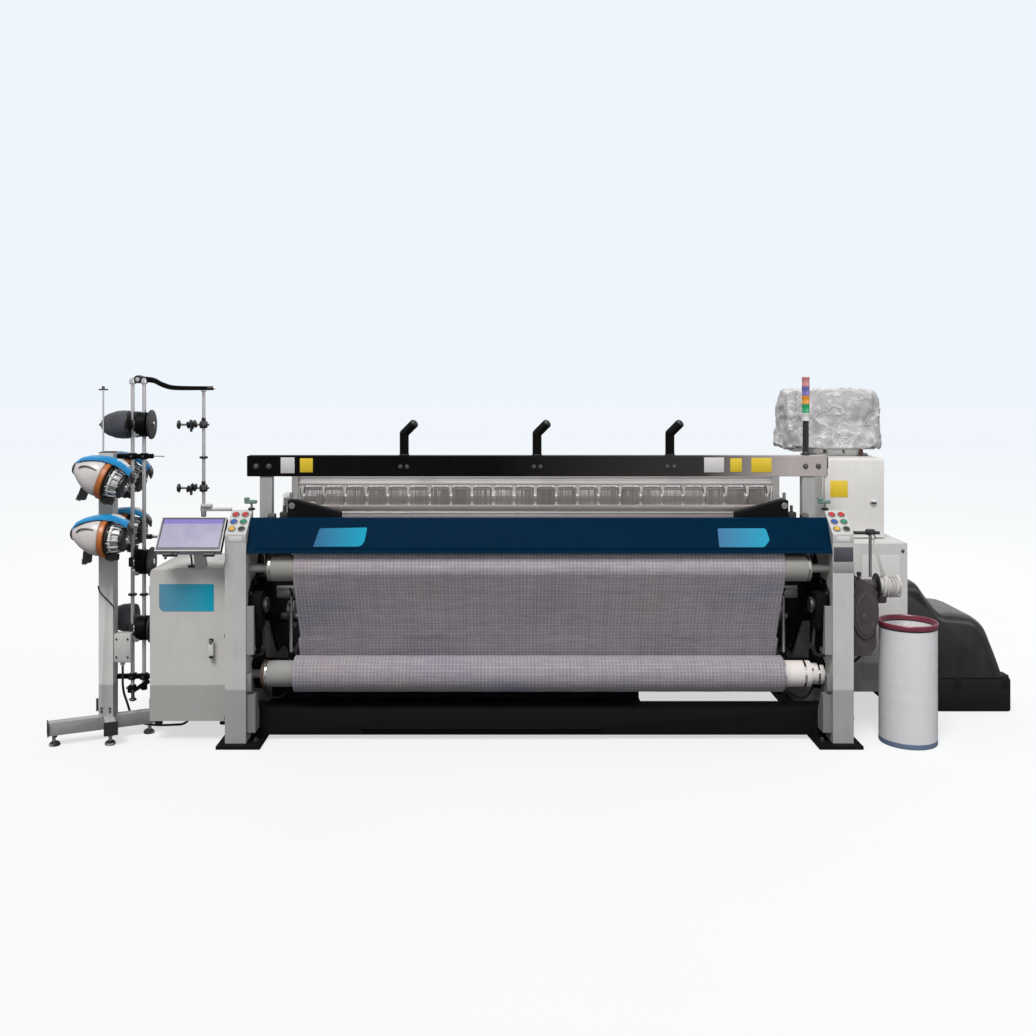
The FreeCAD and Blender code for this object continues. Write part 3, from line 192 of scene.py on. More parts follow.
class Shape:
    """One piece under construction: blocks, prisms, turned parts and pipes added together."""

    def __init__(self, *materials):
        self.materials = materials
        self.bm = bmesh.new()
        self.bm.loops.layers.uv.new("along")

    def add(self, part, edge=0.0, ink=0, segments=2, keep=False):
        if edge:
            creases = [e for e in part.edges if len(e.link_faces) == 2 and e.calc_face_angle(0) > 0.6]
            bmesh.ops.bevel(part, geom=creases, offset=edge, segments=segments, profile=0.5, affect="EDGES",
                clamp_overlap=True)
        if not keep:
            bmesh.ops.recalc_face_normals(part, faces=part.faces)
        for face in part.faces:
            face.material_index = ink
            face.smooth = True
        mesh = bpy.data.meshes.new("work")
        part.to_mesh(mesh)
        part.free()
        self.bm.from_mesh(mesh)
        bpy.data.meshes.remove(mesh)
        return self

    def box(self, x, y, z, edge=2.0, ink=0):
        return self.add(block(x, y, z), edge, ink)

    def rod(self, start, end, radius, ink=0, sides=20, edge=1.0):
        length = (Vector(end) - Vector(start)).length
        edge = min(edge, radius / 3, length / 3)
        profile = ((0, 0), (0, radius - edge), (edge, radius), (length - edge, radius),
            (length, radius - edge), (length, 0))
        return self.add(lathe(profile, start, Vector(end) - Vector(start), sides), 0, ink)

    def hose(self, points, radius, ink=0, sides=10):
        return self.add(pipe(smooth_path(points), radius, sides), 0, ink)

    def turn(self, profile, origin, direction, ink=0, sides=28):
        """A turned solid from (along, radius) pairs; an open end is closed flat to its middle."""
        first, last = profile[0], profile[-1]
        start = ((first[0], 0),) if first[1] else ()
        end = ((last[0], 0),) if last[1] else ()
        return self.add(lathe((*start, *profile, *end), origin, direction, sides), 0, ink)

    def ring(self, profile, origin, direction, ink=0, sides=40):
        return self.add(hollow(profile, origin, direction, sides), 0, ink)

    def plate(self, outline, axis, low, high, edge=2.0, ink=0):
        return self.add(prism(outline, axis, low, high), edge, ink)

    def done(self, name, body, slot=None, replaces=()):
        mesh = bpy.data.meshes.new(name)
        bmesh.ops.scale(self.bm, vec=(MM, MM, MM), verts=self.bm.verts)
        self.bm.to_mesh(mesh)
        self.bm.free()
        mesh.set_sharp_from_angle(angle=SHARP)
        for material in self.materials:
            mesh.materials.append(material)
        return placed(mesh, name, body, replaces)


def placed(mesh, name, body, replaces=()):
    obj = bpy.data.objects.new(name, mesh)
    bpy.context.scene.collection.objects.link(obj)
    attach(obj, body)
    if replaces:
        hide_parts(*replaces)
    return obj


def softened(node, body, material, width=3.0, name=None):
    """A CAD node's own shape with its edges broken, standing for the node."""
    source = frame["nodes"][node]
    bm = bmesh.new()
    bm.from_mesh(source.data)
    bmesh.ops.remove_doubles(bm, verts=bm.verts, dist=0.00002)
    bmesh.ops.dissolve_limit(bm, angle_limit=math.radians(1.0), verts=bm.verts, edges=bm.edges)
    creases = [e for e in bm.edges if len(e.link_faces) == 2 and e.calc_face_angle(0) > 0.6]
    bmesh.ops.bevel(bm, geom=creases, offset=width * MM, segments=2, profile=0.5, affect="EDGES",
        clamp_overlap=True)
    for face in bm.faces:
        face.smooth = face.calc_area() < 0.012 * face.calc_perimeter()
    mesh = bpy.data.meshes.new(name or node + "_body")
    bm.to_mesh(mesh)
    bm.free()
    mesh.set_sharp_from_angle(angle=SHARP)
    mesh.materials.append(material)
    return placed(mesh, name or node + "_body", body, (node,))


# ---- geometry node trees ----------------------------------------------------
class Tree:
    """Short calls for building one node tree."""

    def __init__(self, tree):
        self.tree = tree

    def add(self, kind, inputs=None, **settings):
        node = self.tree.nodes.new(kind)
        for key, value in settings.items():
            setattr(node, key, value)
        for key, value in (inputs or {}).items():
            self.feed(node.inputs[key], value)
        return node

    def feed(self, socket, value):
        if isinstance(value, bpy.types.Node):
            value = value.outputs[0]
        if isinstance(value, bpy.types.NodeSocket):
            self.tree.links.new(value, socket)
        else:
            socket.default_value = value

    def sum(self, operation, *values):
        node = self.add("ShaderNodeMath", operation=operation)
        for k, value in enumerate(values):
            self.feed(node.inputs[k], value)
        return node.outputs[0]

    def scaled(self, vector, factors):
        return self.add("ShaderNodeVectorMath", {0: vector, 1: factors}, operation="MULTIPLY").outputs[0]

    def mixed(self, factor, a, b, how="MIX"):
        node = self.add("ShaderNodeMix", {0: factor, 6: a, 7: b}, data_type="RGBA", blend_type=how)
        return node.outputs[2]

    def ramp(self, value, low, high, out_low=0.0, out_high=1.0):
        inputs = {0: value, 1: low, 2: high, 3: out_low, 4: out_high}
        return self.add("ShaderNodeMapRange", inputs).outputs[0]


def group_of(name, kind, inputs, outputs):
    """A node group with named sockets: (name, socket kind, default)."""
    tree = bpy.data.node_groups.new(name, kind)
    for label, socket, default in inputs:
        made = tree.interface.new_socket(label, in_out="INPUT", socket_type="NodeSocket" + socket)
        if default is not None:
            made.default_value = default
    for label, socket in outputs:
        tree.interface.new_socket(label, in_out="OUTPUT", socket_type="NodeSocket" + socket)
    return tree, Tree(tree), tree.nodes.new("NodeGroupInput"), tree.nodes.new("NodeGroupOutput")


def grown(tree, mesh, name, body, slot=None, replaces=(), **sizes):
    """Runs a geometry tree on a mesh and keeps its result as a plain piece."""
    obj = bpy.data.objects.new(name, mesh)
    bpy.context.scene.collection.objects.link(obj)
    modifier = obj.modifiers.new("grown", "NODES")
    modifier.node_group = tree
    for item in tree.interface.items_tree:
        if item.item_type == "SOCKET" and item.in_out == "INPUT" and item.name in sizes:
            modifier[item.identifier] = sizes[item.name]
    depsgraph = bpy.context.evaluated_depsgraph_get()
    result = bpy.data.meshes.new_from_object(obj.evaluated_get(depsgraph))
    result.name = name
    bpy.data.objects.remove(obj)
    result.set_sharp_from_angle(angle=SHARP)
    return placed(result, name, body, replaces)


def points_mesh(name, points, normals=None):
    """Loose points in metres, each with a direction for what stands on it."""
    mesh = bpy.data.meshes.new(name)
    mesh.from_pydata([tuple(Vector(p) * MM) for p in points], [], [])
    facing = mesh.attributes.new("facing", "FLOAT_VECTOR", "POINT")
    for k, item in enumerate(facing.data):
        item.vector = normals[k] if normals else (0, 0, 1)
    return mesh


def bolt_tree():
    """Hexagon bolt heads with a washer, one on each point, standing along its direction."""
    tree, t, given, result = group_of("bolt_heads", "GeometryNodeTree", (("Geometry", "Geometry", None),
        ("Radius", "Float", 0.008), ("Height", "Float", 0.005), ("Finish", "Material", None)),
        (("Geometry", "Geometry"),))
    half = t.sum("MULTIPLY", given.outputs["Height"], 0.5)
    wide = t.sum("MULTIPLY", given.outputs["Radius"], 1.45)
    thin = t.sum("MULTIPLY", given.outputs["Height"], 0.3)
    head = t.add("GeometryNodeMeshCylinder", {"Vertices": 6, "Radius": given.outputs["Radius"],
        "Depth": given.outputs["Height"]})
    dome = t.add("GeometryNodeMeshCone", {"Vertices": 12, "Radius Bottom": t.sum("MULTIPLY",
        given.outputs["Radius"], 0.8), "Radius Top": t.sum("MULTIPLY", given.outputs["Radius"], 0.62),
        "Depth": t.sum("MULTIPLY", thin, 0.7)})
    washer = t.add("GeometryNodeMeshCylinder", {"Vertices": 16, "Radius": wide, "Depth": thin})
    lift = t.add("ShaderNodeCombineXYZ", {"Z": t.sum("ADD", half, thin)})
    high = t.add("ShaderNodeCombineXYZ", {"Z": t.sum("ADD", given.outputs["Height"], thin)})
    low = t.add("ShaderNodeCombineXYZ", {"Z": t.sum("MULTIPLY", thin, 0.5)})
    raised = t.add("GeometryNodeTransform", {"Geometry": head.outputs["Mesh"], "Translation": lift})
    domed = t.add("GeometryNodeTransform", {"Geometry": dome.outputs["Mesh"], "Translation": high})
    seated = t.add("GeometryNodeTransform", {"Geometry": washer.outputs["Mesh"], "Translation": low})
    bolt = t.add("GeometryNodeJoinGeometry")
    for part in (seated, domed, raised):
        t.tree.links.new(part.outputs[0], bolt.inputs[0])
    facing = t.add("GeometryNodeInputNamedAttribute", {"Name": "facing"}, data_type="FLOAT_VECTOR")
    turned = t.add("FunctionNodeAlignRotationToVector", {"Vector": facing.outputs["Attribute"]}, axis="Z")
    cloud = t.add("GeometryNodeMeshToPoints", {"Mesh": given.outputs["Geometry"]})
    set_out = t.add("GeometryNodeInstanceOnPoints", {"Points": cloud.outputs[0],
        "Instance": bolt.outputs[0], "Rotation": turned.outputs[0]})
    real = t.add("GeometryNodeRealizeInstances", {"Geometry": set_out.outputs[0]})
    finish = t.add("GeometryNodeSetMaterial", {"Geometry": real.outputs[0],
        "Material": given.outputs["Finish"]})
    t.feed(result.inputs[0], finish.outputs[0])
    return tree


def strip_tree():
    """Thin upright strips, one on each point: heddles, reed dents and drop wires."""
    tree, t, given, result = group_of("strips", "GeometryNodeTree", (("Geometry", "Geometry", None),
        ("Width", "Float", 0.001), ("Thickness", "Float", 0.001), ("Height", "Float", 0.1),
        ("Lean", "Float", 0.0), ("Seed", "Int", 3), ("Finish", "Material", None)),
        (("Geometry", "Geometry"),))
    size = t.add("ShaderNodeCombineXYZ", {"X": given.outputs["Width"], "Y": given.outputs["Thickness"],
        "Z": given.outputs["Height"]})
    strip = t.add("GeometryNodeMeshCube", {"Size": size})
    cloud = t.add("GeometryNodeMeshToPoints", {"Mesh": given.outputs["Geometry"]})
    lean = t.add("FunctionNodeRandomValue", {2: t.sum("MULTIPLY", given.outputs["Lean"], -1.0),
        3: given.outputs["Lean"], "Seed": given.outputs["Seed"]})
    turned = t.add("ShaderNodeCombineXYZ", {"Z": lean.outputs[1]})
    set_out = t.add("GeometryNodeInstanceOnPoints", {"Points": cloud.outputs[0],
        "Instance": strip.outputs["Mesh"], "Rotation": turned})
    real = t.add("GeometryNodeRealizeInstances", {"Geometry": set_out.outputs[0]})
    finish = t.add("GeometryNodeSetMaterial", {"Geometry": real.outputs[0],
        "Material": given.outputs["Finish"]})
    t.feed(result.inputs[0], finish.outputs[0])
    return tree


# ---- surface effects shared by the finishes ---------------------------------
def wear_and_shade_group():
    """Patches, grain, and a painted shade that darkens the surface towards the floor."""
    tree, t, given, result = group_of("wear_and_painted_shade", "ShaderNodeTree", (("Base", "Color", (0.5, 0.5, 0.5, 1)),
        ("Patch", "Color", (0.4, 0.4, 0.4, 1)), ("Patch scale", "Float", 6.0), ("Patch amount", "Float",
        0.3), ("Grain scale", "Float", 600.0), ("Grain depth", "Float", 0.1), ("Rough", "Float", 0.45),
        ("Rough spread", "Float", 0.15), ("Painted shade", "Float", 0.0), ("Painted shade top", "Float", 0.3)),
        (("Colour", "Color"), ("Roughness", "Float"), ("Normal", "Vector")))
    place = t.add("ShaderNodeTexCoord").outputs["Object"]
    patches = t.add("ShaderNodeTexNoise", {"Vector": place, "Scale": given.outputs["Patch scale"],
        "Detail": 5.0, "Roughness": 0.62})
    streaks = t.add("ShaderNodeTexNoise", {"Vector": t.scaled(place, (1, 1, 0.12)),
        "Scale": t.sum("MULTIPLY", given.outputs["Patch scale"], 7.0), "Detail": 3.0})
    both = t.sum("ADD", t.sum("MULTIPLY", patches.outputs[0], 0.65), t.sum("MULTIPLY", streaks.outputs[0],
        0.35))
    mask = t.ramp(both, 0.42, 0.64)
    surface_marks = t.mixed(t.sum("MULTIPLY", mask, given.outputs["Patch amount"]), given.outputs["Base"],
        given.outputs["Patch"])
    # Below a set height the colour turns to a dark blue-grey with a ragged edge: painted shade near the
    # floor.
    height = t.add("ShaderNodeSeparateXYZ", {0: place}).outputs["Z"]
    ragged = t.sum("ADD", height, t.sum("MULTIPLY", t.sum("SUBTRACT", both, 0.5), 0.012))
    low = t.sum("SUBTRACT", 1.0, t.sum("DIVIDE", ragged, given.outputs["Painted shade top"]))
    low = t.ramp(low, 0.0, 0.035)
    shaded_low = t.mixed(t.sum("MULTIPLY", low, given.outputs["Painted shade"]), surface_marks, (0.10, 0.105, 0.115, 1))
    rough = t.sum("ADD", given.outputs["Rough"], t.sum("MULTIPLY", t.sum("SUBTRACT", both, 0.5),
        t.sum("MULTIPLY", given.outputs["Rough spread"], 2.0)))
    grain = t.add("ShaderNodeTexNoise", {"Vector": place, "Scale": given.outputs["Grain scale"],
        "Detail": 2.0})
    bump = t.add("ShaderNodeBump", {"Strength": given.outputs["Grain depth"], "Distance": 0.001,
        "Height": grain.outputs[0]})
    t.feed(result.inputs["Colour"], shaded_low)
    t.feed(result.inputs["Roughness"], rough)
    t.feed(result.inputs["Normal"], bump)
    return tree


def brushed_group():
    """Fine lines left by turning or grinding, along one axis."""
    tree, t, given, result = group_of("brushed", "ShaderNodeTree", (("Base", "Color", (0.5, 0.5, 0.5, 1)),
        ("Line stretch", "Vector", (4, 300, 300)), ("Rough", "Float", 0.3), ("Line depth", "Float", 0.15),
        ("Stain", "Float", 0.2)), (("Colour", "Color"), ("Roughness", "Float"), ("Normal", "Vector")))
    place = t.add("ShaderNodeTexCoord").outputs["Object"]
    lines = t.add("ShaderNodeTexNoise", {"Vector": t.scaled(place, given.outputs["Line stretch"]),
        "Scale": 1.0, "Detail": 3.0})
    stains = t.add("ShaderNodeTexNoise", {"Vector": place, "Scale": 14.0, "Detail": 4.0})
    spots = t.sum("MULTIPLY", t.ramp(stains.outputs[0], 0.5, 0.72), given.outputs["Stain"])
    dull = t.mixed(t.ramp(lines.outputs[0], 0.3, 0.7), t.mixed(1.0, given.outputs["Base"],
        (0.78, 0.78, 0.8, 1), "MULTIPLY"), given.outputs["Base"])
    colour = t.mixed(spots, dull, (0.16, 0.13, 0.11, 1))
    rough = t.sum("ADD", given.outputs["Rough"], t.sum("MULTIPLY", spots, 0.3))
    bump = t.add("ShaderNodeBump", {"Strength": given.outputs["Line depth"], "Distance": 0.0005,
        "Height": lines.outputs[0]})
    t.feed(result.inputs["Colour"], colour)
    t.feed(result.inputs["Roughness"], rough)
    t.feed(result.inputs["Normal"], bump)
    return tree


def check_group():
    """A woven check that follows the cloth: thin pale lines around fine cells, bolder every fifth."""
    tree, t, given, result = group_of("woven_check", "ShaderNodeTree", (("Ground", "Color",
        (0.3, 0.28, 0.32, 1)), ("Line", "Color", (0.72, 0.68, 0.67, 1)), ("Bold", "Color",
        (0.16, 0.15, 0.2, 1)), ("Cell", "Float", 0.0165), ("Line share", "Float", 0.2),
        ("Thread", "Float", 0.0011)), (("Colour", "Color"), ("Height", "Float"), ("Normal", "Vector")))
    uv = t.add("ShaderNodeUVMap", uv_map="along").outputs[0]
    sway = t.add("ShaderNodeTexNoise", {"Vector": uv, "Scale": 7.0, "Detail": 2.0})
    part = t.add("ShaderNodeSeparateXYZ", {0: uv})
    wobble = t.sum("MULTIPLY", t.sum("SUBTRACT", sway.outputs[0], 0.5), 0.0028)
    lines, bold, threads = [], [], []
    for k in (0, 1):
        run = t.sum("ADD", part.outputs[k], wobble)
        cell = t.sum("DIVIDE", run, given.outputs["Cell"])
        inside = t.sum("PINGPONG", cell, 0.5)
        lines.append(t.ramp(inside, t.sum("MULTIPLY", given.outputs["Line share"], 0.75),
            t.sum("MULTIPLY", given.outputs["Line share"], 0.35)))
        fifth = t.sum("FRACT", t.sum("DIVIDE", cell, 5.0))
        bold.append(t.ramp(fifth, 0.64, 0.72))
        threads.append(t.sum("SINE", t.sum("MULTIPLY", t.sum("DIVIDE", run, given.outputs["Thread"]),
            math.tau)))
    uneven = t.add("ShaderNodeTexNoise", {"Vector": t.scaled(uv, (9, 70, 1)), "Scale": 1.0, "Detail": 2.0})
    faint = t.ramp(uneven.outputs[0], 0.38, 0.62, 0.35, 1.0)
    line = t.sum("MULTIPLY", faint, t.sum("MAXIMUM", lines[0], t.sum("MULTIPLY", lines[1], 0.8)))
    dark = t.sum("MULTIPLY", t.sum("ADD", bold[0], bold[1]), 0.22)
    slub = t.add("ShaderNodeTexNoise", {"Vector": t.scaled(uv, (160, 30, 1)), "Scale": 1.0, "Detail": 2.0})
    ground = t.mixed(dark, given.outputs["Ground"], given.outputs["Bold"])
    ground = t.mixed(t.ramp(slub.outputs[0], 0.35, 0.7, 0.0, 0.22), ground, given.outputs["Line"])
    bloom = t.add("ShaderNodeTexNoise", {"Vector": t.scaled(uv, (2.2, 3.0, 1)), "Scale": 1.0, "Detail": 3.0})
    ground = t.mixed(t.ramp(bloom.outputs[0], 0.48, 0.66, 0.0, 0.5), ground, (0.17, 0.175, 0.255, 1))
    ground = t.mixed(t.ramp(bloom.outputs[0], 0.46, 0.30, 0.0, 0.35), ground, (0.30, 0.235, 0.235, 1))
    colour = t.mixed(t.sum("MULTIPLY", line, 0.85), ground, given.outputs["Line"])
    height = t.sum("ADD", t.sum("MULTIPLY", threads[0], 0.5), t.sum("MULTIPLY", threads[1], 0.5))
    bump = t.add("ShaderNodeBump", {"Strength": 0.35, "Distance": 0.0004, "Height": height})
    t.feed(result.inputs["Colour"], colour)
    t.feed(result.inputs["Height"], height)
    t.feed(result.inputs["Normal"], bump)
    return tree


def yarn_group():
    """Parallel ends of yarn: each end a shade of its own, with a soft rounded profile."""
    tree, t, given, result = group_of("yarn_ends", "ShaderNodeTree", (("Light", "Color",
        (0.8, 0.79, 0.76, 1)), ("Dark", "Color", (0.5, 0.49, 0.48, 1)), ("Along", "Vector", (1, 0, 0)),
        ("Pitch", "Float", 0.002)), (("Colour", "Color"), ("Normal", "Vector")))
    place = t.add("ShaderNodeTexCoord").outputs["Object"]
    run = t.add("ShaderNodeVectorMath", {0: place, 1: given.outputs["Along"]}, operation="DOT_PRODUCT")
    cell = t.sum("DIVIDE", run.outputs["Value"], given.outputs["Pitch"])
    shade = t.add("ShaderNodeTexWhiteNoise", {"W": t.sum("FLOOR", cell)}, noise_dimensions="1D")
    round_end = t.sum("PINGPONG", cell, 0.5)
    band = t.add("ShaderNodeTexNoise", {"Vector": place, "Scale": 9.0, "Detail": 3.0})
    mix = t.sum("ADD", t.sum("MULTIPLY", shade.outputs["Value"], 0.5), t.sum("MULTIPLY",
        t.ramp(band.outputs[0], 0.4, 0.65), 0.4))
    colour = t.mixed(mix, given.outputs["Light"], given.outputs["Dark"])
    bump = t.add("ShaderNodeBump", {"Strength": 0.5, "Distance": 0.0008, "Height": round_end})
    t.feed(result.inputs["Colour"], colour)
    t.feed(result.inputs["Normal"], bump)
    return tree


WEAR_AND_SHADE, BRUSHED, CHECK, YARN = wear_and_shade_group(), brushed_group(), check_group(), yarn_group()


# ---- finishes ---------------------------------------------------------------
def shader(name, **sockets):
    """A material with its Principled shader; plain numbers are set on the shader's own sockets."""
    material = bpy.data.materials.new(name)
    material.use_nodes = True
    t = Tree(material.node_tree)
    surface = material.node_tree.nodes["Principled BSDF"]
    for label, value in sockets.items():
        surface.inputs[label.replace("_", " ")].default_value = value
    return material, t, surface


def tint(colour):
    return tuple(colour) + (1.0,)


# The two arguments after grain_scale darken the paint below a given height: painted shade near the floor.
def painted(name, base, patch=None, rough=0.45, spread=0.15, amount=0.35, scale=6.0, grain=0.12,
        grain_scale=700.0, painted_shade=0.0, painted_shade_top=0.3, **sockets):
    """Paint, moulded plastic or rubber."""
    patch = patch or [c * 0.72 for c in base]
    material, t, surface = shader(name, **sockets)
    surface_marks = t.add("ShaderNodeGroup", node_tree=WEAR_AND_SHADE)
    for label, value in (("Base", tint(base)), ("Patch", tint(patch)), ("Patch scale", scale),
            ("Patch amount", amount), ("Grain scale", grain_scale), ("Grain depth", grain),
            ("Rough", rough), ("Rough spread", spread), ("Painted shade", painted_shade), ("Painted shade top", painted_shade_top)):
        surface_marks.inputs[label].default_value = value
    t.feed(surface.inputs["Base Color"], surface_marks.outputs["Colour"])
    t.feed(surface.inputs["Roughness"], surface_marks.outputs["Roughness"])
    t.feed(surface.inputs["Normal"], surface_marks.outputs["Normal"])
    return material


def metal(name, base, rough=0.3, lines=(4, 300, 300), depth=0.12, stain=0.15, metallic=1.0, **sockets):
    """Turned, ground or plated metal."""
    material, t, surface = shader(name, Metallic=metallic, **sockets)
    surface_marks = t.add("ShaderNodeGroup", node_tree=BRUSHED)
    for label, value in (("Base", tint(base)), ("Line stretch", lines), ("Rough", rough),
            ("Line depth", depth), ("Stain", stain)):
        surface_marks.inputs[label].default_value = value
    t.feed(surface.inputs["Base Color"], surface_marks.outputs["Colour"])
    t.feed(surface.inputs["Roughness"], surface_marks.outputs["Roughness"])
    t.feed(surface.inputs["Normal"], surface_marks.outputs["Normal"])
    return material


def yarn(name, light, dark, along=(1, 0, 0), pitch=0.002, **sockets):
    material, t, surface = shader(name, Roughness=0.85, Sheen_Weight=0.3, **sockets)
    ends = t.add("ShaderNodeGroup", node_tree=YARN)
    for label, value in (("Light", tint(light)), ("Dark", tint(dark)), ("Along", along), ("Pitch", pitch)):
        ends.inputs[label].default_value = value
    t.feed(surface.inputs["Base Color"], ends.outputs["Colour"])
    t.feed(surface.inputs["Normal"], ends.outputs["Normal"])
    return material


def checked(name, ground, line, bold):
    material, t, surface = shader(name, Roughness=0.88, Sheen_Weight=0.25, Sheen_Roughness=0.4)
    cloth = t.add("ShaderNodeGroup", node_tree=CHECK)
    for label, value in (("Ground", tint(ground)), ("Line", tint(line)), ("Bold", tint(bold))):
        cloth.inputs[label].default_value = value
    t.feed(surface.inputs["Base Color"], cloth.outputs["Colour"])
    t.feed(surface.inputs["Normal"], cloth.outputs["Normal"])
    return material


def graded(name, left, right, x_low, x_high):
    """A printed plate whose colour runs from left to right."""
    material, t, surface = shader(name, Roughness=0.5, Specular_IOR_Level=0.06)
    place = t.add("ShaderNodeTexCoord").outputs["Object"]
    x = t.add("ShaderNodeSeparateXYZ", {0: place}).outputs["X"]
    speck = t.add("ShaderNodeTexNoise", {"Vector": place, "Scale": 900.0, "Detail": 1.0})
    run = t.sum("ADD", t.ramp(x, x_low * MM, x_high * MM), t.sum("MULTIPLY", t.sum("SUBTRACT",
        speck.outputs[0], 0.5), 0.08))
    t.feed(surface.inputs["Base Color"], t.mixed(run, tint(left), tint(right)))
    t.feed(surface.inputs["Normal"], t.add("ShaderNodeBump", {"Strength": 0.05, "Distance": 0.0005,
        "Height": speck.outputs[0]}))
    return material


tube_grey = graded("cloth_tube_enamel", (0.31, 0.31, 0.30), (0.74, 0.70, 0.68), 1080, 1180)
# grey_paint, grey_shade, cabinet_paint and drive_paint are darkened below a set height: painted shade near
# the floor.
grey_paint = painted("light_grey_enamel", (0.555, 0.56, 0.545), rough=0.5, painted_shade=0.45, painted_shade_top=0.265,
    grain=0.2, grain_scale=420.0)
# grey_shade is the light grey drawn darker, as painted shade, for parts that sit in shade.
grey_shade = painted("grey_casting_in_shade", (0.30, 0.305, 0.31), rough=0.55, painted_shade=0.5, painted_shade_top=0.4)
grey_shade_light = painted("upright_enamel", (0.42, 0.425, 0.42), rough=0.5)
black_paint = painted("black_enamel", (0.003, 0.003, 0.003), (0.008, 0.008, 0.009), rough=0.5, grain=0.15,
    Specular_IOR_Level=0.07)
recess_dark = painted("shaded_recess", (0.055, 0.05, 0.065), (0.12, 0.11, 0.13), rough=0.5, scale=14.0)
dull_black = painted("dull_black_castings", (0.002, 0.002, 0.003), (0.006, 0.006, 0.008), rough=0.75,
    Specular_IOR_Level=0.15)
navy_paint = painted("deep_navy_enamel", (0.0002, 0.0155, 0.040), (0.0004, 0.019, 0.050), rough=0.58,
    spread=0.08, amount=0.6, grain=0.06, Specular_IOR_Level=0.02)
cabinet_paint = painted("cabinet_powder_coat", (0.61, 0.60, 0.572), rough=0.5, painted_shade=0.40, painted_shade_top=0.27,
    grain=0.3, grain_scale=900.0, amount=0.2)
drive_paint = painted("drive_housing_enamel", (0.60, 0.60, 0.59), rough=0.5, painted_shade=0.35, painted_shade_top=0.3,
    grain=0.3, grain_scale=900.0, amount=0.25)
box_paint = painted("warm_white_enamel", (0.74, 0.73, 0.71), rough=0.5, amount=0.2, grain=0.2)
unit_paint = painted("white_cover_paint", (0.72, 0.72, 0.71), rough=0.45, amount=0.2)
bare_steel = metal("turned_steel", (0.44, 0.43, 0.42), 0.34)
dark_steel = metal("oiled_steel", (0.16, 0.15, 0.15), 0.42, stain=0.5)
bright_steel = metal("plated_rod", (0.80, 0.79, 0.79), 0.25, (300, 300, 6), 0.05, 0.03, metallic=0.6)
chrome = metal("plated_chuck", (0.8, 0.79, 0.78), 0.14, (300, 8, 8), 0.05, 0.05)
alloy = metal("drawn_alloy", (0.80, 0.77, 0.755), 0.42, (3, 260, 260), 0.1, 0.05, metallic=0.25)
heddle_steel = metal("flat_heddle_steel", (0.46, 0.42, 0.39), 0.42, (400, 300, 8), 0.1, 0.2, metallic=0.5)
hook_plastic = painted("stave_hook", (0.62, 0.60, 0.58), rough=0.5)
reed_steel = metal("reed_band", (0.36, 0.335, 0.31), 0.4, metallic=0.7)
reed_strip = painted("reed_felt", (0.20, 0.17, 0.18), rough=0.8, grain=0.5)
roller_cover = painted("roller_grip_cover", (0.30, 0.295, 0.27), (0.24, 0.235, 0.22), rough=0.75, grain=0.6,
    grain_scale=1100.0)
brown_ring = painted("brown_tube_ring", (0.11, 0.045, 0.02), rough=0.5)
check_cloth = checked("checked_cotton", (0.305, 0.28, 0.318), (0.57, 0.53, 0.53), (0.20, 0.185, 0.235))
# The same check as checked_cotton at 0.8 of its brightness, for the wound roll: painted shade.
wound_cloth_painted_shade = checked("checked_cotton_wound_painted_shade", (0.245, 0.225, 0.26), (0.46, 0.43, 0.43), (0.16, 0.15, 0.20))
warp_cotton = yarn("warp_ends", (0.70, 0.69, 0.67), (0.46, 0.45, 0.45))
wound_warp = yarn("wound_warp_ends", (0.68, 0.67, 0.65), (0.44, 0.43, 0.43), pitch=0.003)
dark_yarn = yarn("dark_bobbin_yarn", (0.075, 0.08, 0.095), (0.02, 0.022, 0.03), (1, 0.4, 0.3), 0.003)
white_yarn = yarn("white_spool_yarn", (0.75, 0.74, 0.72), (0.45, 0.44, 0.43), (1, 0.3, 0), 0.003)
fluff_cotton = painted("cotton_fluff", (0.72, 0.71, 0.70), (0.42, 0.38, 0.40), rough=0.95, amount=0.8,
    scale=40.0, grain=0.9, grain_scale=180.0, Sheen_Weight=0.5)
black_plastic = painted("black_moulding", (0.012, 0.012, 0.013), (0.025, 0.025, 0.027), rough=0.42,
    grain=0.3, grain_scale=1300.0)
black_rubber = painted("black_rubber", (0.015, 0.015, 0.016), rough=0.7, grain=0.4)
hood_gloss = painted("hood_gloss_moulding", (0.010, 0.009, 0.010), (0.03, 0.028, 0.03), rough=0.27,
    spread=0.1, amount=0.5, scale=3.0, grain=0.2, grain_scale=60.0)
hood_matte = painted("hood_base_moulding", (0.010, 0.0095, 0.0105), rough=0.6, grain=0.4,
    Specular_IOR_Level=0.15)
dark_casing = painted("dark_casing_enamel", (0.045, 0.037, 0.038), (0.08, 0.068, 0.068), rough=0.42,
    amount=0.5, scale=18.0)
screen_frame_paint = painted("screen_frame", (0.47, 0.47, 0.50), rough=0.4, grain=0.2)
bezel_black = painted("screen_bezel", (0.03, 0.03, 0.04), rough=0.25, grain=0.02)
feeder_shell = painted("feeder_shell", (0.66, 0.625, 0.61), (0.50, 0.48, 0.475), rough=0.34, amount=0.4,
    scale=12.0, grain=0.08, Coat_Weight=0.15, Coat_Roughness=0.2)
feeder_blue = painted("feeder_blue_spine", (0.009, 0.27, 0.62), (0.018, 0.39, 0.76), rough=0.35, scale=20.0)
orange_disc = painted("orange_winding_disc", (0.52, 0.16, 0.035), (0.36, 0.09, 0.02), rough=0.35, scale=25.0)
drum_metal = metal("feeder_drum", (0.62, 0.62, 0.62), 0.3, (250, 20, 20), 0.1, 0.1)
white_plastic = painted("white_moulding", (0.74, 0.74, 0.73), rough=0.35, amount=0.2)
yellow_plate = painted("yellow_plate", (0.80, 0.58, 0.03), (0.70, 0.48, 0.02), rough=0.4, scale=30.0)
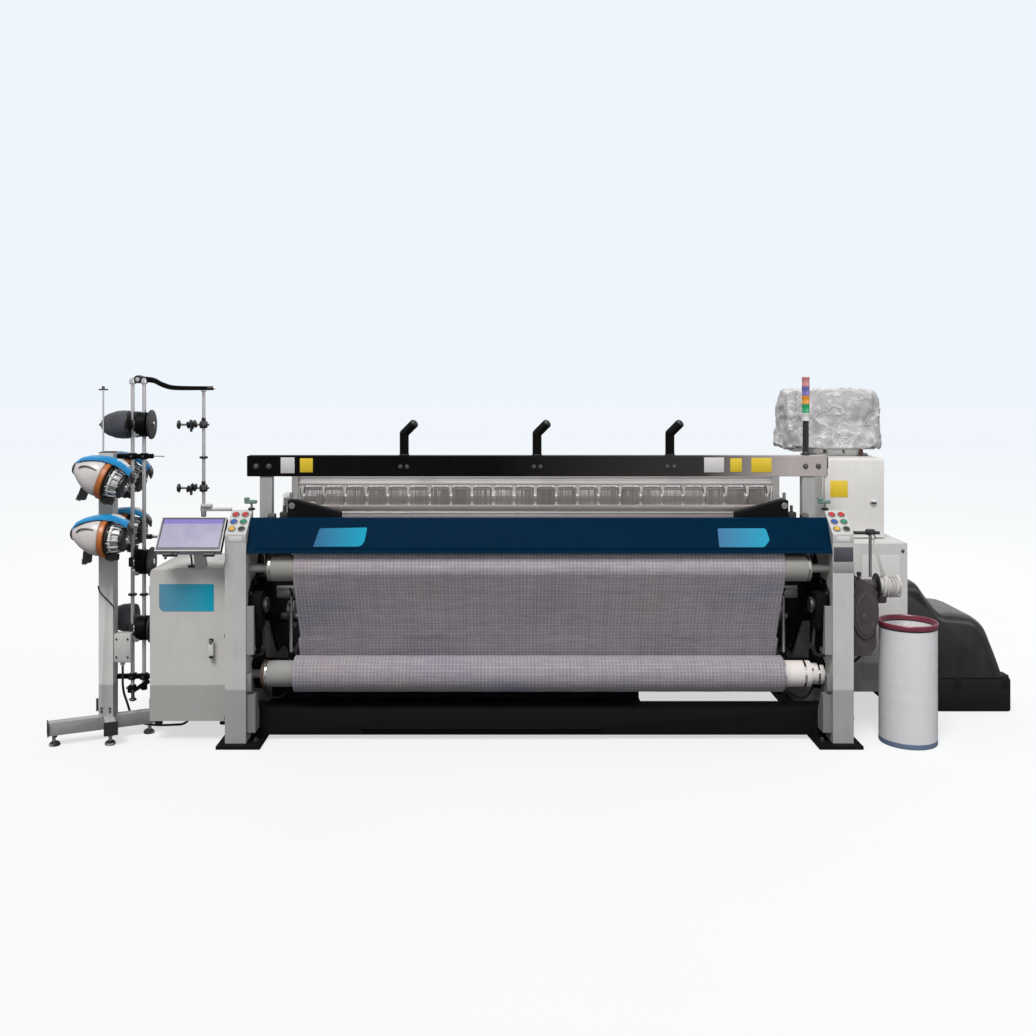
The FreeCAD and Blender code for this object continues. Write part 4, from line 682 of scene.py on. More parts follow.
white_plate = painted("white_plate", (0.70, 0.69, 0.68), (0.55, 0.54, 0.54), rough=0.4, scale=40.0)
cable_sheath = painted("cable_sheath", (0.016, 0.016, 0.018), rough=0.55, grain=0.3, grain_scale=900.0)
button_red = painted("red_push_button", (0.55, 0.02, 0.015), rough=0.3, Coat_Weight=0.3)
button_blue = painted("blue_push_button", (0.02, 0.09, 0.42), rough=0.3, Coat_Weight=0.3)
lever_green = painted("grey_green_lever", (0.16, 0.26, 0.22), rough=0.4)
button_green = painted("green_push_button", (0.01, 0.25, 0.12), rough=0.3, Coat_Weight=0.3)
button_yellow = painted("yellow_push_button", (0.72, 0.42, 0.03), rough=0.3, Coat_Weight=0.3)
button_black = painted("black_push_button", (0.02, 0.02, 0.02), rough=0.3, Coat_Weight=0.3)
can_wall = painted("can_white_wall", (0.74, 0.74, 0.76), rough=0.4, amount=0.25, scale=5.0,
    Coat_Weight=0.15)
can_rim = painted("can_dark_red_rim", (0.20, 0.035, 0.06), rough=0.35)
can_foot = painted("can_blue_foot", (0.12, 0.17, 0.26), rough=0.45, painted_shade=0.0)
tower_red = painted("lens_pale_red", (0.62, 0.25, 0.26), rough=0.25, Coat_Weight=0.5)
tower_blue = painted("lens_violet", (0.18, 0.16, 0.50), rough=0.25, Coat_Weight=0.5)
tower_orange = painted("lens_orange", (0.85, 0.33, 0.03), rough=0.25, Coat_Weight=0.5)
tower_green = painted("lens_green", (0.02, 0.40, 0.16), rough=0.25, Coat_Weight=0.5)


# ---- camera, floor and light ------------------------------------------------
def set_camera():
    camera = bpy.data.cameras.new("camera")
    camera.lens = 37.7
    camera.sensor_width = 36.0
    camera.shift_x, camera.shift_y = 0.0174, -0.138
    camera.clip_end = 200.0
    obj = bpy.data.objects.new("camera", camera)
    obj.location = (-0.18, -5.71, 1.70)
    obj.rotation_euler = (math.radians(90), 0, 0)
    bpy.context.scene.collection.objects.link(obj)
    bpy.context.scene.camera = obj


def area_light(name, place, aim, size, power, colour=(1, 1, 1)):
    light = bpy.data.lights.new(name, "AREA")
    light.shape = "RECTANGLE"
    light.size, light.size_y = size
    light.energy = power
    light.color = colour
    obj = bpy.data.objects.new(name, light)
    obj.location = place
    obj.rotation_euler = (Vector(aim) - Vector(place)).to_track_quat("-Z", "Y").to_euler()
    bpy.context.scene.collection.objects.link(obj)


def floor_finish():
    """A white studio floor that bounces little light back under the machine."""
    material, t, surface = shader("studio_floor", Roughness=0.95, Specular_IOR_Level=0.1)
    seen = t.add("ShaderNodeLightPath").outputs["Is Camera Ray"]
    place = t.add("ShaderNodeTexCoord").outputs["Object"]
    cloud = t.add("ShaderNodeTexNoise", {"Vector": place, "Scale": 0.7, "Detail": 3.0}).outputs[0]
    near = t.mixed(cloud, (0.965, 0.975, 0.965, 1), (0.945, 0.965, 0.965, 1))
    away = t.add("ShaderNodeVectorMath", {0: place}, operation="LENGTH").outputs["Value"]
    pale = t.mixed(t.ramp(away, 5.0, 22.0), near, (0.875, 0.925, 0.975, 1))
    t.feed(surface.inputs["Base Color"], t.mixed(seen, (0.16, 0.16, 0.17, 1), t.mixed(1.0, pale,
        (0.31, 0.31, 0.31, 1), "MULTIPLY")))
    t.feed(surface.inputs["Emission Color"], pale)
    t.feed(surface.inputs["Emission Strength"], t.sum("MULTIPLY", seen, 0.645))
    return material


def set_studio():
    bm = bmesh.new()
    bmesh.ops.create_circle(bm, cap_ends=True, segments=64, radius=60.0)
    mesh = bpy.data.meshes.new("floor")
    bm.to_mesh(mesh)
    bm.free()
    mesh.materials.append(floor_finish())
    floor = bpy.data.objects.new("floor", mesh)
    bpy.context.scene.collection.objects.link(floor)
    world = bpy.data.worlds.new("studio")
    world.use_nodes = True
    t = Tree(world.node_tree)
    sky = world.node_tree.nodes["Background"]
    seen = t.add("ShaderNodeLightPath").outputs["Is Camera Ray"]
    t.feed(sky.inputs["Color"], t.mixed(seen, (0.97, 0.97, 1.0, 1), (0.86, 0.915, 0.975, 1)))
    glossy = t.add("ShaderNodeLightPath").outputs["Is Glossy Ray"]
    t.feed(sky.inputs["Strength"], t.sum("ADD", t.ramp(seen, 0.0, 1.0, 0.42, 1.0),
        t.sum("MULTIPLY", glossy, 0.35)))
    bpy.context.scene.world = world
    bpy.context.scene.view_settings.view_transform = "Standard"
    sun = bpy.data.lights.new("sun", "SUN")
    sun.energy, sun.angle, sun.color = 2.55, math.radians(24), (1.0, 0.985, 0.96)
    obj = bpy.data.objects.new("sun", sun)
    obj.rotation_euler = Vector((0.22, 0.58, -0.92)).to_track_quat("-Z", "Y").to_euler()
    bpy.context.scene.collection.objects.link(obj)
    area_light("fill", (4.5, -4.5, 2.6), (0.5, 0, 0.7), (4.0, 2.0), 45.0)
    area_light("back", (1.0, 6.0, 4.0), (0, 0, 0.8), (6.0, 3.0), 60.0)


set_camera()
set_studio()
bolt_heads, strips = bolt_tree(), strip_tree()


def bolts(name, body, points, facing, radius=8.0, height=5.0, finish=None, slot="bare_steel"):
    mesh = points_mesh(name, points, [facing] * len(points))
    return grown(bolt_heads, mesh, name, body, slot, Radius=radius * MM, Height=height * MM,
        Finish=finish or dark_steel)


def dress(material, *nodes):
    """Gives kept CAD nodes their finish."""
    for node in nodes:
        obj = frame["nodes"][node]
        for k in range(max(1, len(obj.material_slots))):
            if k < len(obj.material_slots):
                obj.material_slots[k].material = material
            else:
                obj.data.materials.append(material)


# ---- the cable from the stand to the cabinet --------------------------------
CABLE_POINTS = ((-1.945, -0.634, 0.345), (-1.945, -0.634, 0.300), (-1.949, -0.624, 0.252),
    (-1.952, -0.600, 0.202), (-1.951, -0.566, 0.158), (-1.948, -0.541, 0.112), (-1.941, -0.522, 0.068),
    (-1.923, -0.499, 0.037), (-1.890, -0.478, 0.017), (-1.845, -0.465, 0.008), (-1.798, -0.460, 0.006),
    (-1.752, -0.452, 0.006), (-1.723, -0.451, 0.006), (-1.701, -0.445, 0.0155), (-1.684, -0.440, 0.033),
    (-1.675, -0.437, 0.056), (-1.675, -0.437, 0.080))
CABLE_WIDE = 0.011


def lay_cable():
    curve = bpy.data.curves.new("stand_lead", "CURVE")
    curve.dimensions = "3D"
    spline = curve.splines.new("NURBS")
    spline.points.add(len(CABLE_POINTS) - 1)
    for point, place in zip(spline.points, CABLE_POINTS):
        point.co = (*place, 1)
    spline.order_u = 3
    spline.use_endpoint_u = True
    spline.resolution_u = 12
    curve.bevel_depth = CABLE_WIDE / 2
    curve.bevel_resolution = 4
    curve.use_fill_caps = True
    curve.materials.append(cable_sheath)
    lead = bpy.data.objects.new("stand_lead", curve)
    bpy.context.scene.collection.objects.link(lead)
    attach(lead, "loom")
    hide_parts("stand_cable")


lay_cable()


# ---- side frames and base ---------------------------------------------------
LEFT_IN, RIGHT_IN = span("left_side_frame")[1].x, span("right_side_frame")[0].x
FRONT = span("consoles")[0].y
POST_TOP = span("consoles")[0].z
TAKE_UP = middle("take_up_roller")
CLOTH_ROLL = middle("cloth_winding")
MAIN = joint("main_shaft_turn")["pos_m"]
ROCKER = joint("sley_rock")["pos_m"]


def make_side_frames():
    softened("left_side_frame", "loom", grey_paint, 4.0)
    softened("right_side_frame", "loom", grey_paint, 4.0)
    softened("base_frame", "loom", dull_black, 3.0)
    for side, inner, name in ((-1, LEFT_IN, "left"), (1, RIGHT_IN, "right")):
        gear = Shape(dull_black, dark_steel, grey_shade, bright_steel, black_rubber)

        def x(*inset):
            return tuple(inner - side * v for v in inset)

        # cladding over the frame's inner face, with cast ribs and a let-off gearbox
        gear.plate(((-738, 500), (-700, 700), (-640, 742), (-560, 742), (-470, 860), (-410, 860),
            (-410, 400), (-520, 372), (-560, 420), (-720, 420)), "x", *x(0.5, 9), edge=2.5)
        gear.plate(((-330, 820), (140, 790), (400, 700), (560, 640), (660, 760), (660, 180), (300, 170),
            (120, 260), (-60, 260), (-330, 560)), "x", *x(0.5, 8), edge=2.5)
        gear.plate(((-590, 590), (-520, 735), (-470, 735), (-440, 690), (-455, 560), (-500, 520)), "x",
            *x(9, 78), edge=9.0)
        gear.box(x(9, 62), (-705, -610), (520, 690), 12.0)
        gear.box(x(9, 46), (-700, -640), (585, 640), 6.0, ink=1)
        gear.turn(((0, 58), (6, 62), (26, 62), (34, 54), (34, 24), (46, 22)), (x(9)[0], -560, 600),
            (-side, 0, 0), sides=32)
        gear.turn(((0, 34), (12, 38), (20, 34)), (x(62)[0], -655, 630), (-side, 0, 0), 1)
        gear.plate(((-640, 350), (-560, 392), (-470, 380), (-452, 300), (-500, 220), (-560, 215)), "x",
            *x(0.5, 30), edge=6.0)
        # light grey brackets near the foot and along the front edge, drawn in the darker grey_shade as
        # painted shade
        gear.plate(((-745, 640), (-745, 420), (-712, 420), (-712, 470), (-728, 640)), "x", *x(0.5, 34),
            edge=2.0, ink=2)
        gear.plate(((-735, 60), (-735, 235), (-700, 235), (-640, 120), (-640, 60)), "x", *x(0.5, 40),
            edge=3.0, ink=2)
        gear.box(x(0.5, 24), (-744, -720), (250, 330), 3.0, ink=2)
        # silver rods and a small lever
        for inset, y, low, high, radius in ((162, -505, 372, 640, 7), (150, -470, 330, 560, 5)):
            gear.rod((inner - side * inset, y, low), (inner - side * inset, y, high), radius, ink=3)
            gear.box(x(inset - 16, inset + 16), (y - 14, y + 14), (low - 26, low), 4.0)
            gear.hose(((inner - side * inset, y, high), (inner - side * inset, y + 6, high + 16),
                (inner - side * (inset - 14), y + 30, high + 28)), radius * 0.8, ink=0)
        gear.box(x(9, 170), (-470, -446), (304, 332), 5.0)
        gear.hose(((x(150)[0], -455, 300), (x(168)[0], -470, 250), (x(164)[0], -476, 205),
            (x(172)[0], -478, 180)), 5.5)
        gear.turn(((0, 9), (16, 11), (24, 7)), (x(172)[0], -478, 162), TO_TOP)
        # hoses that loop from the gearbox to the frame
        gear.hose(((x(50)[0], -640, 520), (x(66)[0], -668, 450), (x(52)[0], -662, 404),
            (x(8)[0], -650, 392)), 8, 4)
        gear.hose(((x(58)[0], -480, 735), (x(80)[0], -510, 800), (x(44)[0], -470, 850),
            (x(6)[0], -440, 858)), 7, 4)
        gear.hose(((x(30)[0], -560, 236), (x(74)[0], -600, 190), (x(110)[0], -580, 176),
            (x(150)[0], -540, 190)), 5, 4)
        gear.rod((x(4)[0], -660, 888), (x(70)[0], -660, 888), 9, ink=1)
        gear.turn(((0, 20), (4, 22), (16, 22), (20, 18)), (x(66)[0], -660, 888), (-side, 0, 0), 1)
        gear.done(name + "_gear_cladding", "loom", "black_paint")
        points = [(x(9)[0], y, z) for y, z in ((-715, 520), (-690, 690), (-600, 724), (-470, 830),
            (-425, 700), (-425, 440), (-300, 790), (-300, 600), (-60, 290), (120, 770), (380, 200),
            (640, 720), (640, 210))]
        bolts(name + "_cladding_bolts", "loom", points, (-side, 0, 0), 8.0, 5.0)
        outer = span(name + "_side_frame")[0 if side < 0 else 1].x
        points = [(outer, y, z) for y, z in ((-715, 120), (-715, 500), (-430, 120), (-430, 830), (0, 780),
            (420, 150), (420, 780), (670, 120), (670, 950), (-60, 150))]
        bolts(name + "_frame_bolts", "loom", points, (side, 0, 0), 11.0, 7.0)
        if side > 0:
            continue
        covers = Shape(grey_paint, bare_steel)
        for y, z, radius in ((CLOTH_ROLL.y, CLOTH_ROLL.z, 70), (TAKE_UP.y, TAKE_UP.z, 52),
                (ROCKER[1] / MM, ROCKER[2] / MM, 48)):
            covers.turn(((0, radius), (4, radius + 4), (9, radius + 2), (12, radius - 6)), (outer, y, z),
                (side, 0, 0), 0, 36)
        covers.turn(((0, 120), (5, 126), (12, 120), (16, 96)), (outer, MAIN[1] / MM, MAIN[2] / MM),
            (side, 0, 0), 0, 48)
        covers.done("left_bearing_covers", "loom", "grey_paint")
    anchors = [(x, y, 15) for x in (LEFT_IN + 36, RIGHT_IN - 36) for y in (-705, 705)]
    bolts("anchor_bolts", "loom", anchors, TO_TOP, 11.0, 9.0)


make_side_frames()


# ---- upper beam -------------------------------------------------------------
ARM_X = (-645, 0, 645)


def beam_enamel_painted_sheen():
    """Black enamel, lighter towards the right end and pinkish grey there: a painted reflection."""
    material, t, surface = shader("upper_beam_enamel_painted_sheen", Specular_IOR_Level=0.06)
    surface_marks = t.add("ShaderNodeGroup", node_tree=WEAR_AND_SHADE)
    place = t.add("ShaderNodeTexCoord").outputs["Object"]
    x = t.add("ShaderNodeSeparateXYZ", {0: place}).outputs["X"]
    # The colour lightens along x to the right end: painted reflection.
    first = t.mixed(t.ramp(x, -0.2, 0.85), (0.003, 0.003, 0.003, 1), (0.045, 0.042, 0.04, 1))
    run = t.mixed(t.ramp(x, 0.80, 1.22), first, (0.50, 0.46, 0.45, 1))
    t.feed(surface_marks.inputs["Base"], run)
    t.feed(surface_marks.inputs["Patch"], t.mixed(0.35, run, (0.02, 0.02, 0.02, 1)))
    for label, value in (("Patch scale", 5.0), ("Patch amount", 0.25), ("Grain depth", 0.1),
            ("Rough", 0.48), ("Rough spread", 0.12)):
        surface_marks.inputs[label].default_value = value
    for label, output in (("Base Color", "Colour"), ("Roughness", "Roughness"), ("Normal", "Normal")):
        t.feed(surface.inputs[label], surface_marks.outputs[output])
    return material


def make_top_beam():
    low, high = span("top_beam")
    front, base, top = low.y, low.z, high.z
    softened("top_beam", "loom", beam_enamel_painted_sheen(), 5.0)
    fittings = Shape(white_plate, yellow_plate, black_plastic)
    for ink, x0, x1, z0, z1 in ((0, -1239, -1172, 16, 92), (1, -1146, -1084, 20, 88), (0, 806, 902, 20, 92),
            (1, 932, 988, 22, 88), (1, 1034, 1132, 20, 90)):
        fittings.box((x0, x1), (front - 1.2, front), (base + z0, base + z1), 0.5, ink)
    for x0, x1 in ((low.x - 3, low.x + 3), (high.x - 3, high.x + 3)):
        fittings.box((x0, x1), (low.y + 1, high.y - 1), (base + 1, top - 1), 2.0, 2)
    fittings.box((high.x - 6, high.x + 8), (low.y + 6, high.y - 6), (base + 36, top - 6), 3.0, 2)
    fittings.done("beam_plates_and_caps", "loom", "black_paint")
    ends = [(s * x, front, base + 50) for s in (-1, 1) for x in (1358, 1296)]
    bolts("beam_end_bolts", "loom", ends, TO_FRONT, 9.0, 5.0, dark_steel)
    pairs = [(x + dx, front, base + 48) for x in ARM_X for dx in (-16, 16)]
    bolts("arm_bolts", "loom", pairs, TO_FRONT, 7.0, 5.0, dark_steel)
    dress(black_paint, "bent_arms")
    arm_high = span("bent_arms")[1]
    collars = Shape(black_plastic)
    for x in ARM_X:
        collars.turn(((0, 0), (0, 23.5), (3, 24.5), (7, 23.5), (8, 0)), (x, -440, top), TO_TOP)
        collars.turn(((0, 0), (0, 22.4), (6, 22.6), (13, 20), (18, 14), (21, 7), (22, 0)),
            (arm_high.x - 15.6 - (ARM_X[2] - x), -440, arm_high.z - 15.6), (1, 0, 1))
    collars.done("arm_collars", "loom", "black_plastic")
    softened("upper_supports", "loom", grey_shade_light, 2.5)


make_top_beam()


# ---- front cover ------------------------------------------------------------
def sloped(outline, origin, up, thick, out):
    """A flat piece on a slope: outline points give x and the distance up the slope."""
    rings = []
    for lift in (0.0, thick):
        rings.append([Vector((x, origin[0] + up[0] * s + out[0] * lift,
            origin[1] + up[1] * s + out[1] * lift)) for x, s in outline])
    return loft(rings)


def make_front_cover():
    low, high = span("front_cover")
    softened("front_cover", "loom", navy_paint, 1.0)
    fold_y = -665.0
    run = Vector((fold_y - low.y, high.z - low.z))
    slope = run.length
    up = run / slope
    out = Vector((-up.y, up.x))
    plates = Shape(graded("blue_plate_left", (0.03, 0.125, 0.26), (0.004, 0.33, 0.50), -1037, -795),
        graded("blue_plate_right", (0.06, 0.18, 0.34), (0.02, 0.33, 0.50), 826, 1062), navy_paint)
    left = [(-1037, 32), (-1015, 117), (-1008, 122), (-798, 126), (-795, 120), (-803, 60), (-815, 40),
        (-830, 33)]
    right = [(826, 30), (826, 116), (832, 122), (1042, 122), (1050, 116), (1060, 70), (1056, 58),
        (1036, 34), (1028, 30)]
    plates.add(sloped(left, (low.y, low.z), up, 1.4, out), 0.5, 0)
    plates.add(sloped(right, (low.y, low.z), up, 1.4, out), 0.5, 1)
    plates.done("cover_plates", "loom", "navy_paint")
    folds = Shape(navy_paint, dull_black)
    for x in (low.x + 2, high.x - 2):
        outline = [(low.y + 3, low.z + 2), (-663, high.z - 4), (-640, high.z - 5), (-640, high.z - 40),
            (low.y + 30, low.z + 2)]
        folds.plate(outline, "x", x - 1.5, x + 1.5, 0.6)
    folds.box((low.x + 40, high.x - 40), (low.y + 9, low.y + 13), (low.z + 4, low.z + 24), 1.0)
    folds.done("cover_folds", "loom", "navy_paint")
    bolts("cover_screws", "loom", [(x, -650, high.z) for x in (-1280, -860, -430, 0, 430, 860, 1280)],
        (0, 0, 1), 5.0, 2.5)
    softened("temple_covers", "loom", dull_black, 5.0)
    dress(bare_steel, "breast_beam")
    trims = Shape(dark_steel, bare_steel, black_plastic)
    low, high = span("temple_covers")
    for side in (-1, 1):
        x = side * (high.x - 20)
        trims.rod((x, low.y - 6, high.z - 26), (x, low.y + 8, high.z - 26), 15, 1)
        trims.rod((side * (high.x - 6), -540, 1000), (side * (high.x - 6), -540, 1140), 8, 1)
        trims.box((side * (high.x + 2), side * (high.x + 42)), (-585, -545), (1000, 1052), 6.0, 2)
        trims.rod((side * (high.x + 22), -565, 1050), (side * (high.x + 22), -565, 1082), 7, 0)
        trims.box((side * (high.x + 60), side * (high.x + 96)), (-600, -560), (1000, 1046), 6.0, 0)
    trims.done("temple_fittings", "loom", "bare_steel")


make_front_cover()


# ---- healds, reed and sley --------------------------------------------------
HEDDLE_GROUPS = 22
HEDDLES_EACH = 30


def make_heald_frame(side):
    node = side + "_heald_frame"
    low, high = span(node)
    y = (low.y, high.y)
    stave = 61.0
    shape = Shape(alloy, hook_plastic, bare_steel, black_rubber)
    for base in (low.z, high.z - stave):
        shape.box((low.x, high.x), (y[0] + 4, y[1] - 4), (base, base + stave), 2.5)
        shape.box((low.x + 4, high.x - 4), y, (base + 6, base + 20), 2.0)
        shape.box((low.x + 4, high.x - 4), y, (base + 40, base + 55), 2.0)
    for x0, x1 in ((low.x, low.x + 22), (high.x - 22, high.x)):
        shape.box((x0, x1), y, (low.z + stave, high.z - stave), 3.0)
        shape.box((x0 + 3, x1 - 3), (y[0] - 0.4, y[0] + 3), (low.z + 90, high.z - 90), 1.0, 2)
    pitch = (high.x - low.x - 65) / HEDDLE_GROUPS
    top, foot = high.z - stave, low.z + stave
    for k in range(HEDDLE_GROUPS + 1):
        x = (k - HEDDLE_GROUPS / 2) * pitch
        shape.plate(((x - 17, top + 1), (x - 7, top - 14), (x - 3.4, top - 44), (x + 3.4, top - 44),
            (x + 7, top - 14), (x + 17, top + 1)), "y", y[0] + 3, y[1] - 3, 1.2, 1)
        shape.box((x - 3, x + 3), (y[0] + 5, y[1] - 5), (foot - 1, foot + 30), 1.0, 1)
    for z in (top - 17, foot + 15):
        shape.box((low.x + 22, high.x - 22), (y[0] + 8, y[1] - 8), (z - 5, z + 5), 1.2, 2)
    shape.done(node + "_rails", side + "_heald", "alloy", (node,))
    random.seed(11 if side == "front" else 12)
    points, z = [], (top + foot) / 2
    centre_y = (y[0] + y[1]) / 2
    for k in range(HEDDLE_GROUPS):
        centre = (k + 0.5 - HEDDLE_GROUPS / 2) * pitch
        reach = pitch / 2 - 8
        for i in range(HEDDLES_EACH):
            share = i / (HEDDLES_EACH - 1) * 2 - 1
            x = centre + share * reach + random.uniform(-0.5, 0.5)
            drop = 9.0 * max(0.0, abs(share) - 0.72) / 0.28 + random.uniform(0, 2.0)
            points.append((x, centre_y + (i % 2 - 0.5) * 5, z - drop))
    grown(strips, points_mesh("heddles", points), side + "_heddles", side + "_heald", "alloy",
        Width=2.1 * MM, Thickness=0.9 * MM, Height=(top - foot - 12) * MM, Lean=0.25, Seed=4,
        Finish=heddle_steel)


def make_reed():
    low, high = span("reed")
    band = Shape(reed_steel, bright_steel, reed_strip)
    band.box((low.x, high.x), (low.y, high.y), (high.z - 32, high.z), 5.0)
    band.box((low.x, high.x), (low.y, high.y), (low.z, low.z + 20), 3.0)
    band.rod((low.x + 4, low.y - 0.5, high.z - 36), (high.x - 4, low.y - 0.5, high.z - 36), 3.0, 1, 10)
    for x0, x1 in ((low.x, low.x + 10), (high.x - 10, high.x)):
        band.box((x0, x1), (low.y + 1, high.y - 1), (low.z + 20, high.z - 32), 1.5)
    for k in range(5):
        x = low.x + (high.x - low.x) * (k + 0.5) / 5
        band.box((x - 1, x + 1), (low.y - 0.7, low.y + 2), (high.z - 31, high.z - 2), 0.4, 1)
    band.done("reed_bands", "sley", "bare_steel", ("reed",))
    count = int((high.x - low.x - 24) / 4.0)
    points = [(low.x + 12 + (k + 0.5) * 4.0, (low.y + high.y) / 2,
        (low.z + high.z - 12) / 2) for k in range(count)]
    grown(strips, points_mesh("dents", points), "reed_dents", "sley", "bare_steel", Width=1.0 * MM,
        Thickness=8.0 * MM, Height=(high.z - low.z - 50) * MM, Lean=0.0, Seed=1, Finish=reed_steel)
    softened("sley", "sley", alloy, 3.0)
    low, high = span("reed")
    felt = Shape(reed_strip)
    felt.box((low.x + 60, high.x - 60), (low.y - 22, low.y - 15), (1008, 1026), 2.5)
    felt.done("fell_guard", "loom", "bare_steel")
    dress(bare_steel, "main_shaft", "back_rest_roller", "drop_wire_bank")


make_heald_frame("front")
make_heald_frame("rear")
make_reed()


# ---- consoles and buttons ---------------------------------------------------
BUTTON_PAINTS = (button_yellow, button_black, button_blue, button_green, button_red, button_red)
BUTTON_SLOTS = ("yellow_button", "black_button", "blue_button", "green_button", "red_button", "red_button")


def make_consoles():
    softened("consoles", "loom", grey_paint, 2.0)
    rims = Shape(bare_steel, white_plate, black_plastic, recess_dark, grey_shade)
    for side in ("left", "right"):
        for k in range(6):
            node = "%s_button_%d" % (side, k + 1)
            low, high = span(node)
            centre = (low + high) / 2
            press = Vector(joint(node + "_press")["axis"])
            out = -press
            proud = centre + out * 7.0
            cap = Shape(BUTTON_PAINTS[k], bare_steel)
            cap.turn(((-15.4, 0), (-15.4, 11.6), (-1.0, 11.6), (0.0, 12.3), (3.2, 12.3), (4.6, 11.2),
                (5.2, 8.5), (5.0, 3.0), (4.9, 0)), proud - out * 4.6, out, 0, 24)
            cap.done(node + "_cap", node, BUTTON_SLOTS[k], (node,))
            face = centre + out * 3.2
            rims.ring(((-3.0, 13.2), (0.8, 13.2), (2.2, 14.2), (2.2, 15.8), (0.6, 17.0), (-3.0, 17.0)),
                face, out, 0, 24)
        sign = -1 if side == "left" else 1
        x = (LEFT_IN - 48) if sign < 0 else (RIGHT_IN + 48)
        rims.box((x - 30, x + 30), (FRONT - 1.2, FRONT), (POST_TOP + 6, POST_TOP + 30), 0.5, 1)
    # A dark panel and a darker grey band under the right console: painted shade of the recess below its lip.
    rims.box((RIGHT_IN + 3, RIGHT_IN + 93), (FRONT - 1.5, FRONT), (846, POST_TOP - 19), 0.6, 3)
    rims.box((RIGHT_IN + 1, RIGHT_IN + 95), (FRONT - 3, FRONT), (798, 846), 1.2, 4)
    rims.done("button_rims", "loom", "bare_steel")
    knobs = Shape(bare_steel, lever_green, black_plastic)
    for side, x in ((-1, LEFT_IN - 6), (1, RIGHT_IN + 6)):
        y, base = -609, 1065
        knobs.rod((x, y, base), (x, y, base + 34), 5.5)
        knobs.turn(((0, 14), (3, 17), (9, 17), (12, 10)), (x, y, base), TO_TOP, 2)
        knobs.box((x - 34, x + 26), (y - 10, y + 10), (base + 30, base + 48), 6.0, 1)
        knobs.turn(((0, 10), (4, 13), (12, 13), (16, 9)), (x - 22, y, base + 44), TO_TOP, 1)
    knobs.done("console_levers", "loom", "green_button")


make_consoles()


# ---- cloth ------------------------------------------------------------------
def belt(stops):
    """The middle line of a sheet over rollers, as (y, z) points; each stop is y, z, radius, side."""
    runs = []
    for (ay, az, ar, aside), (by, bz, br, bside) in zip(stops, stops[1:]):
        dy, dz = by - ay, bz - az
        length = math.hypot(dy, dz)
        angle = math.acos((bside * br - aside * ar) / length)
        uy, uz = dy / length, dz / length
        ny = uy * math.cos(angle) - uz * math.sin(angle)
        nz = uy * math.sin(angle) + uz * math.cos(angle)
        runs.append(((ay - aside * ar * ny, az - aside * ar * nz), (by - bside * br * ny,
            bz - bside * br * nz)))
    line = [runs[0][0]]
    for i, (start, end) in enumerate(runs):
        if i:
            cy, cz = stops[i][0], stops[i][1]
            a0 = math.atan2(line[-1][1] - cz, line[-1][0] - cy)
            a1 = math.atan2(start[1] - cz, start[0] - cy)
            turn = (a1 - a0 + math.pi) % math.tau - math.pi
            if turn * stops[i][3] < 0 and abs(turn) > 0.02:
                turn += math.tau * stops[i][3]
            radius = stops[i][2]
            steps = max(3, int(abs(turn) / 0.12))
            for k in range(1, steps + 1):
                a = a0 + turn * k / steps
                line.append((cy + radius * math.cos(a), cz + radius * math.sin(a)))
        steps = max(2, int(math.hypot(end[0] - start[0], end[1] - start[1]) / 12))
        for k in range(1, steps + 1):
            line.append((start[0] + (end[0] - start[0]) * k / steps,
                start[1] + (end[1] - start[1]) * k / steps))
    return line


CLOTH_T = 1.2
SOFT_GAP = 0.3
NOSE_R, ROLLER_R = 25, 60
WARP_GAP = (-235, -125)


def sheet_over(name, lines, half, columns, ink, moved):
    """A thin sheet whose middle runs along each line of (y, z) points; returns it and its length."""
    verts, uvs, faces, total = [], [], [], 0.0
    width = columns + 1
    for line in lines:
        first = len(verts)
        for i, (y, z) in enumerate(line):
            if i:
                total += math.hypot(y - line[i - 1][0], z - line[i - 1][1])
            for k in range(width):
                share = k / columns * 2 - 1
                verts.append(moved(share * half, y, z) * MM)
                uvs.append((share * half * MM, total * MM))
        for i in range(len(line) - 1):
            for k in range(columns):
                at = first + i * width + k
                faces.append((at, at + width, at + width + 1, at + 1))
    mesh = bpy.data.meshes.new(name)
    mesh.from_pydata(verts, [], faces)
    layer = mesh.uv_layers.new(name="along")
    for loop in mesh.loops:
        layer.data[loop.index].uv = uvs[loop.vertex_index]
    mesh.materials.append(ink)
    mesh.shade_smooth()
    return mesh, total


def thicken(obj):
    wall = obj.modifiers.new("thickness", "SOLIDIFY")
    wall.thickness = CLOTH_T * MM
    wall.offset = 0.0


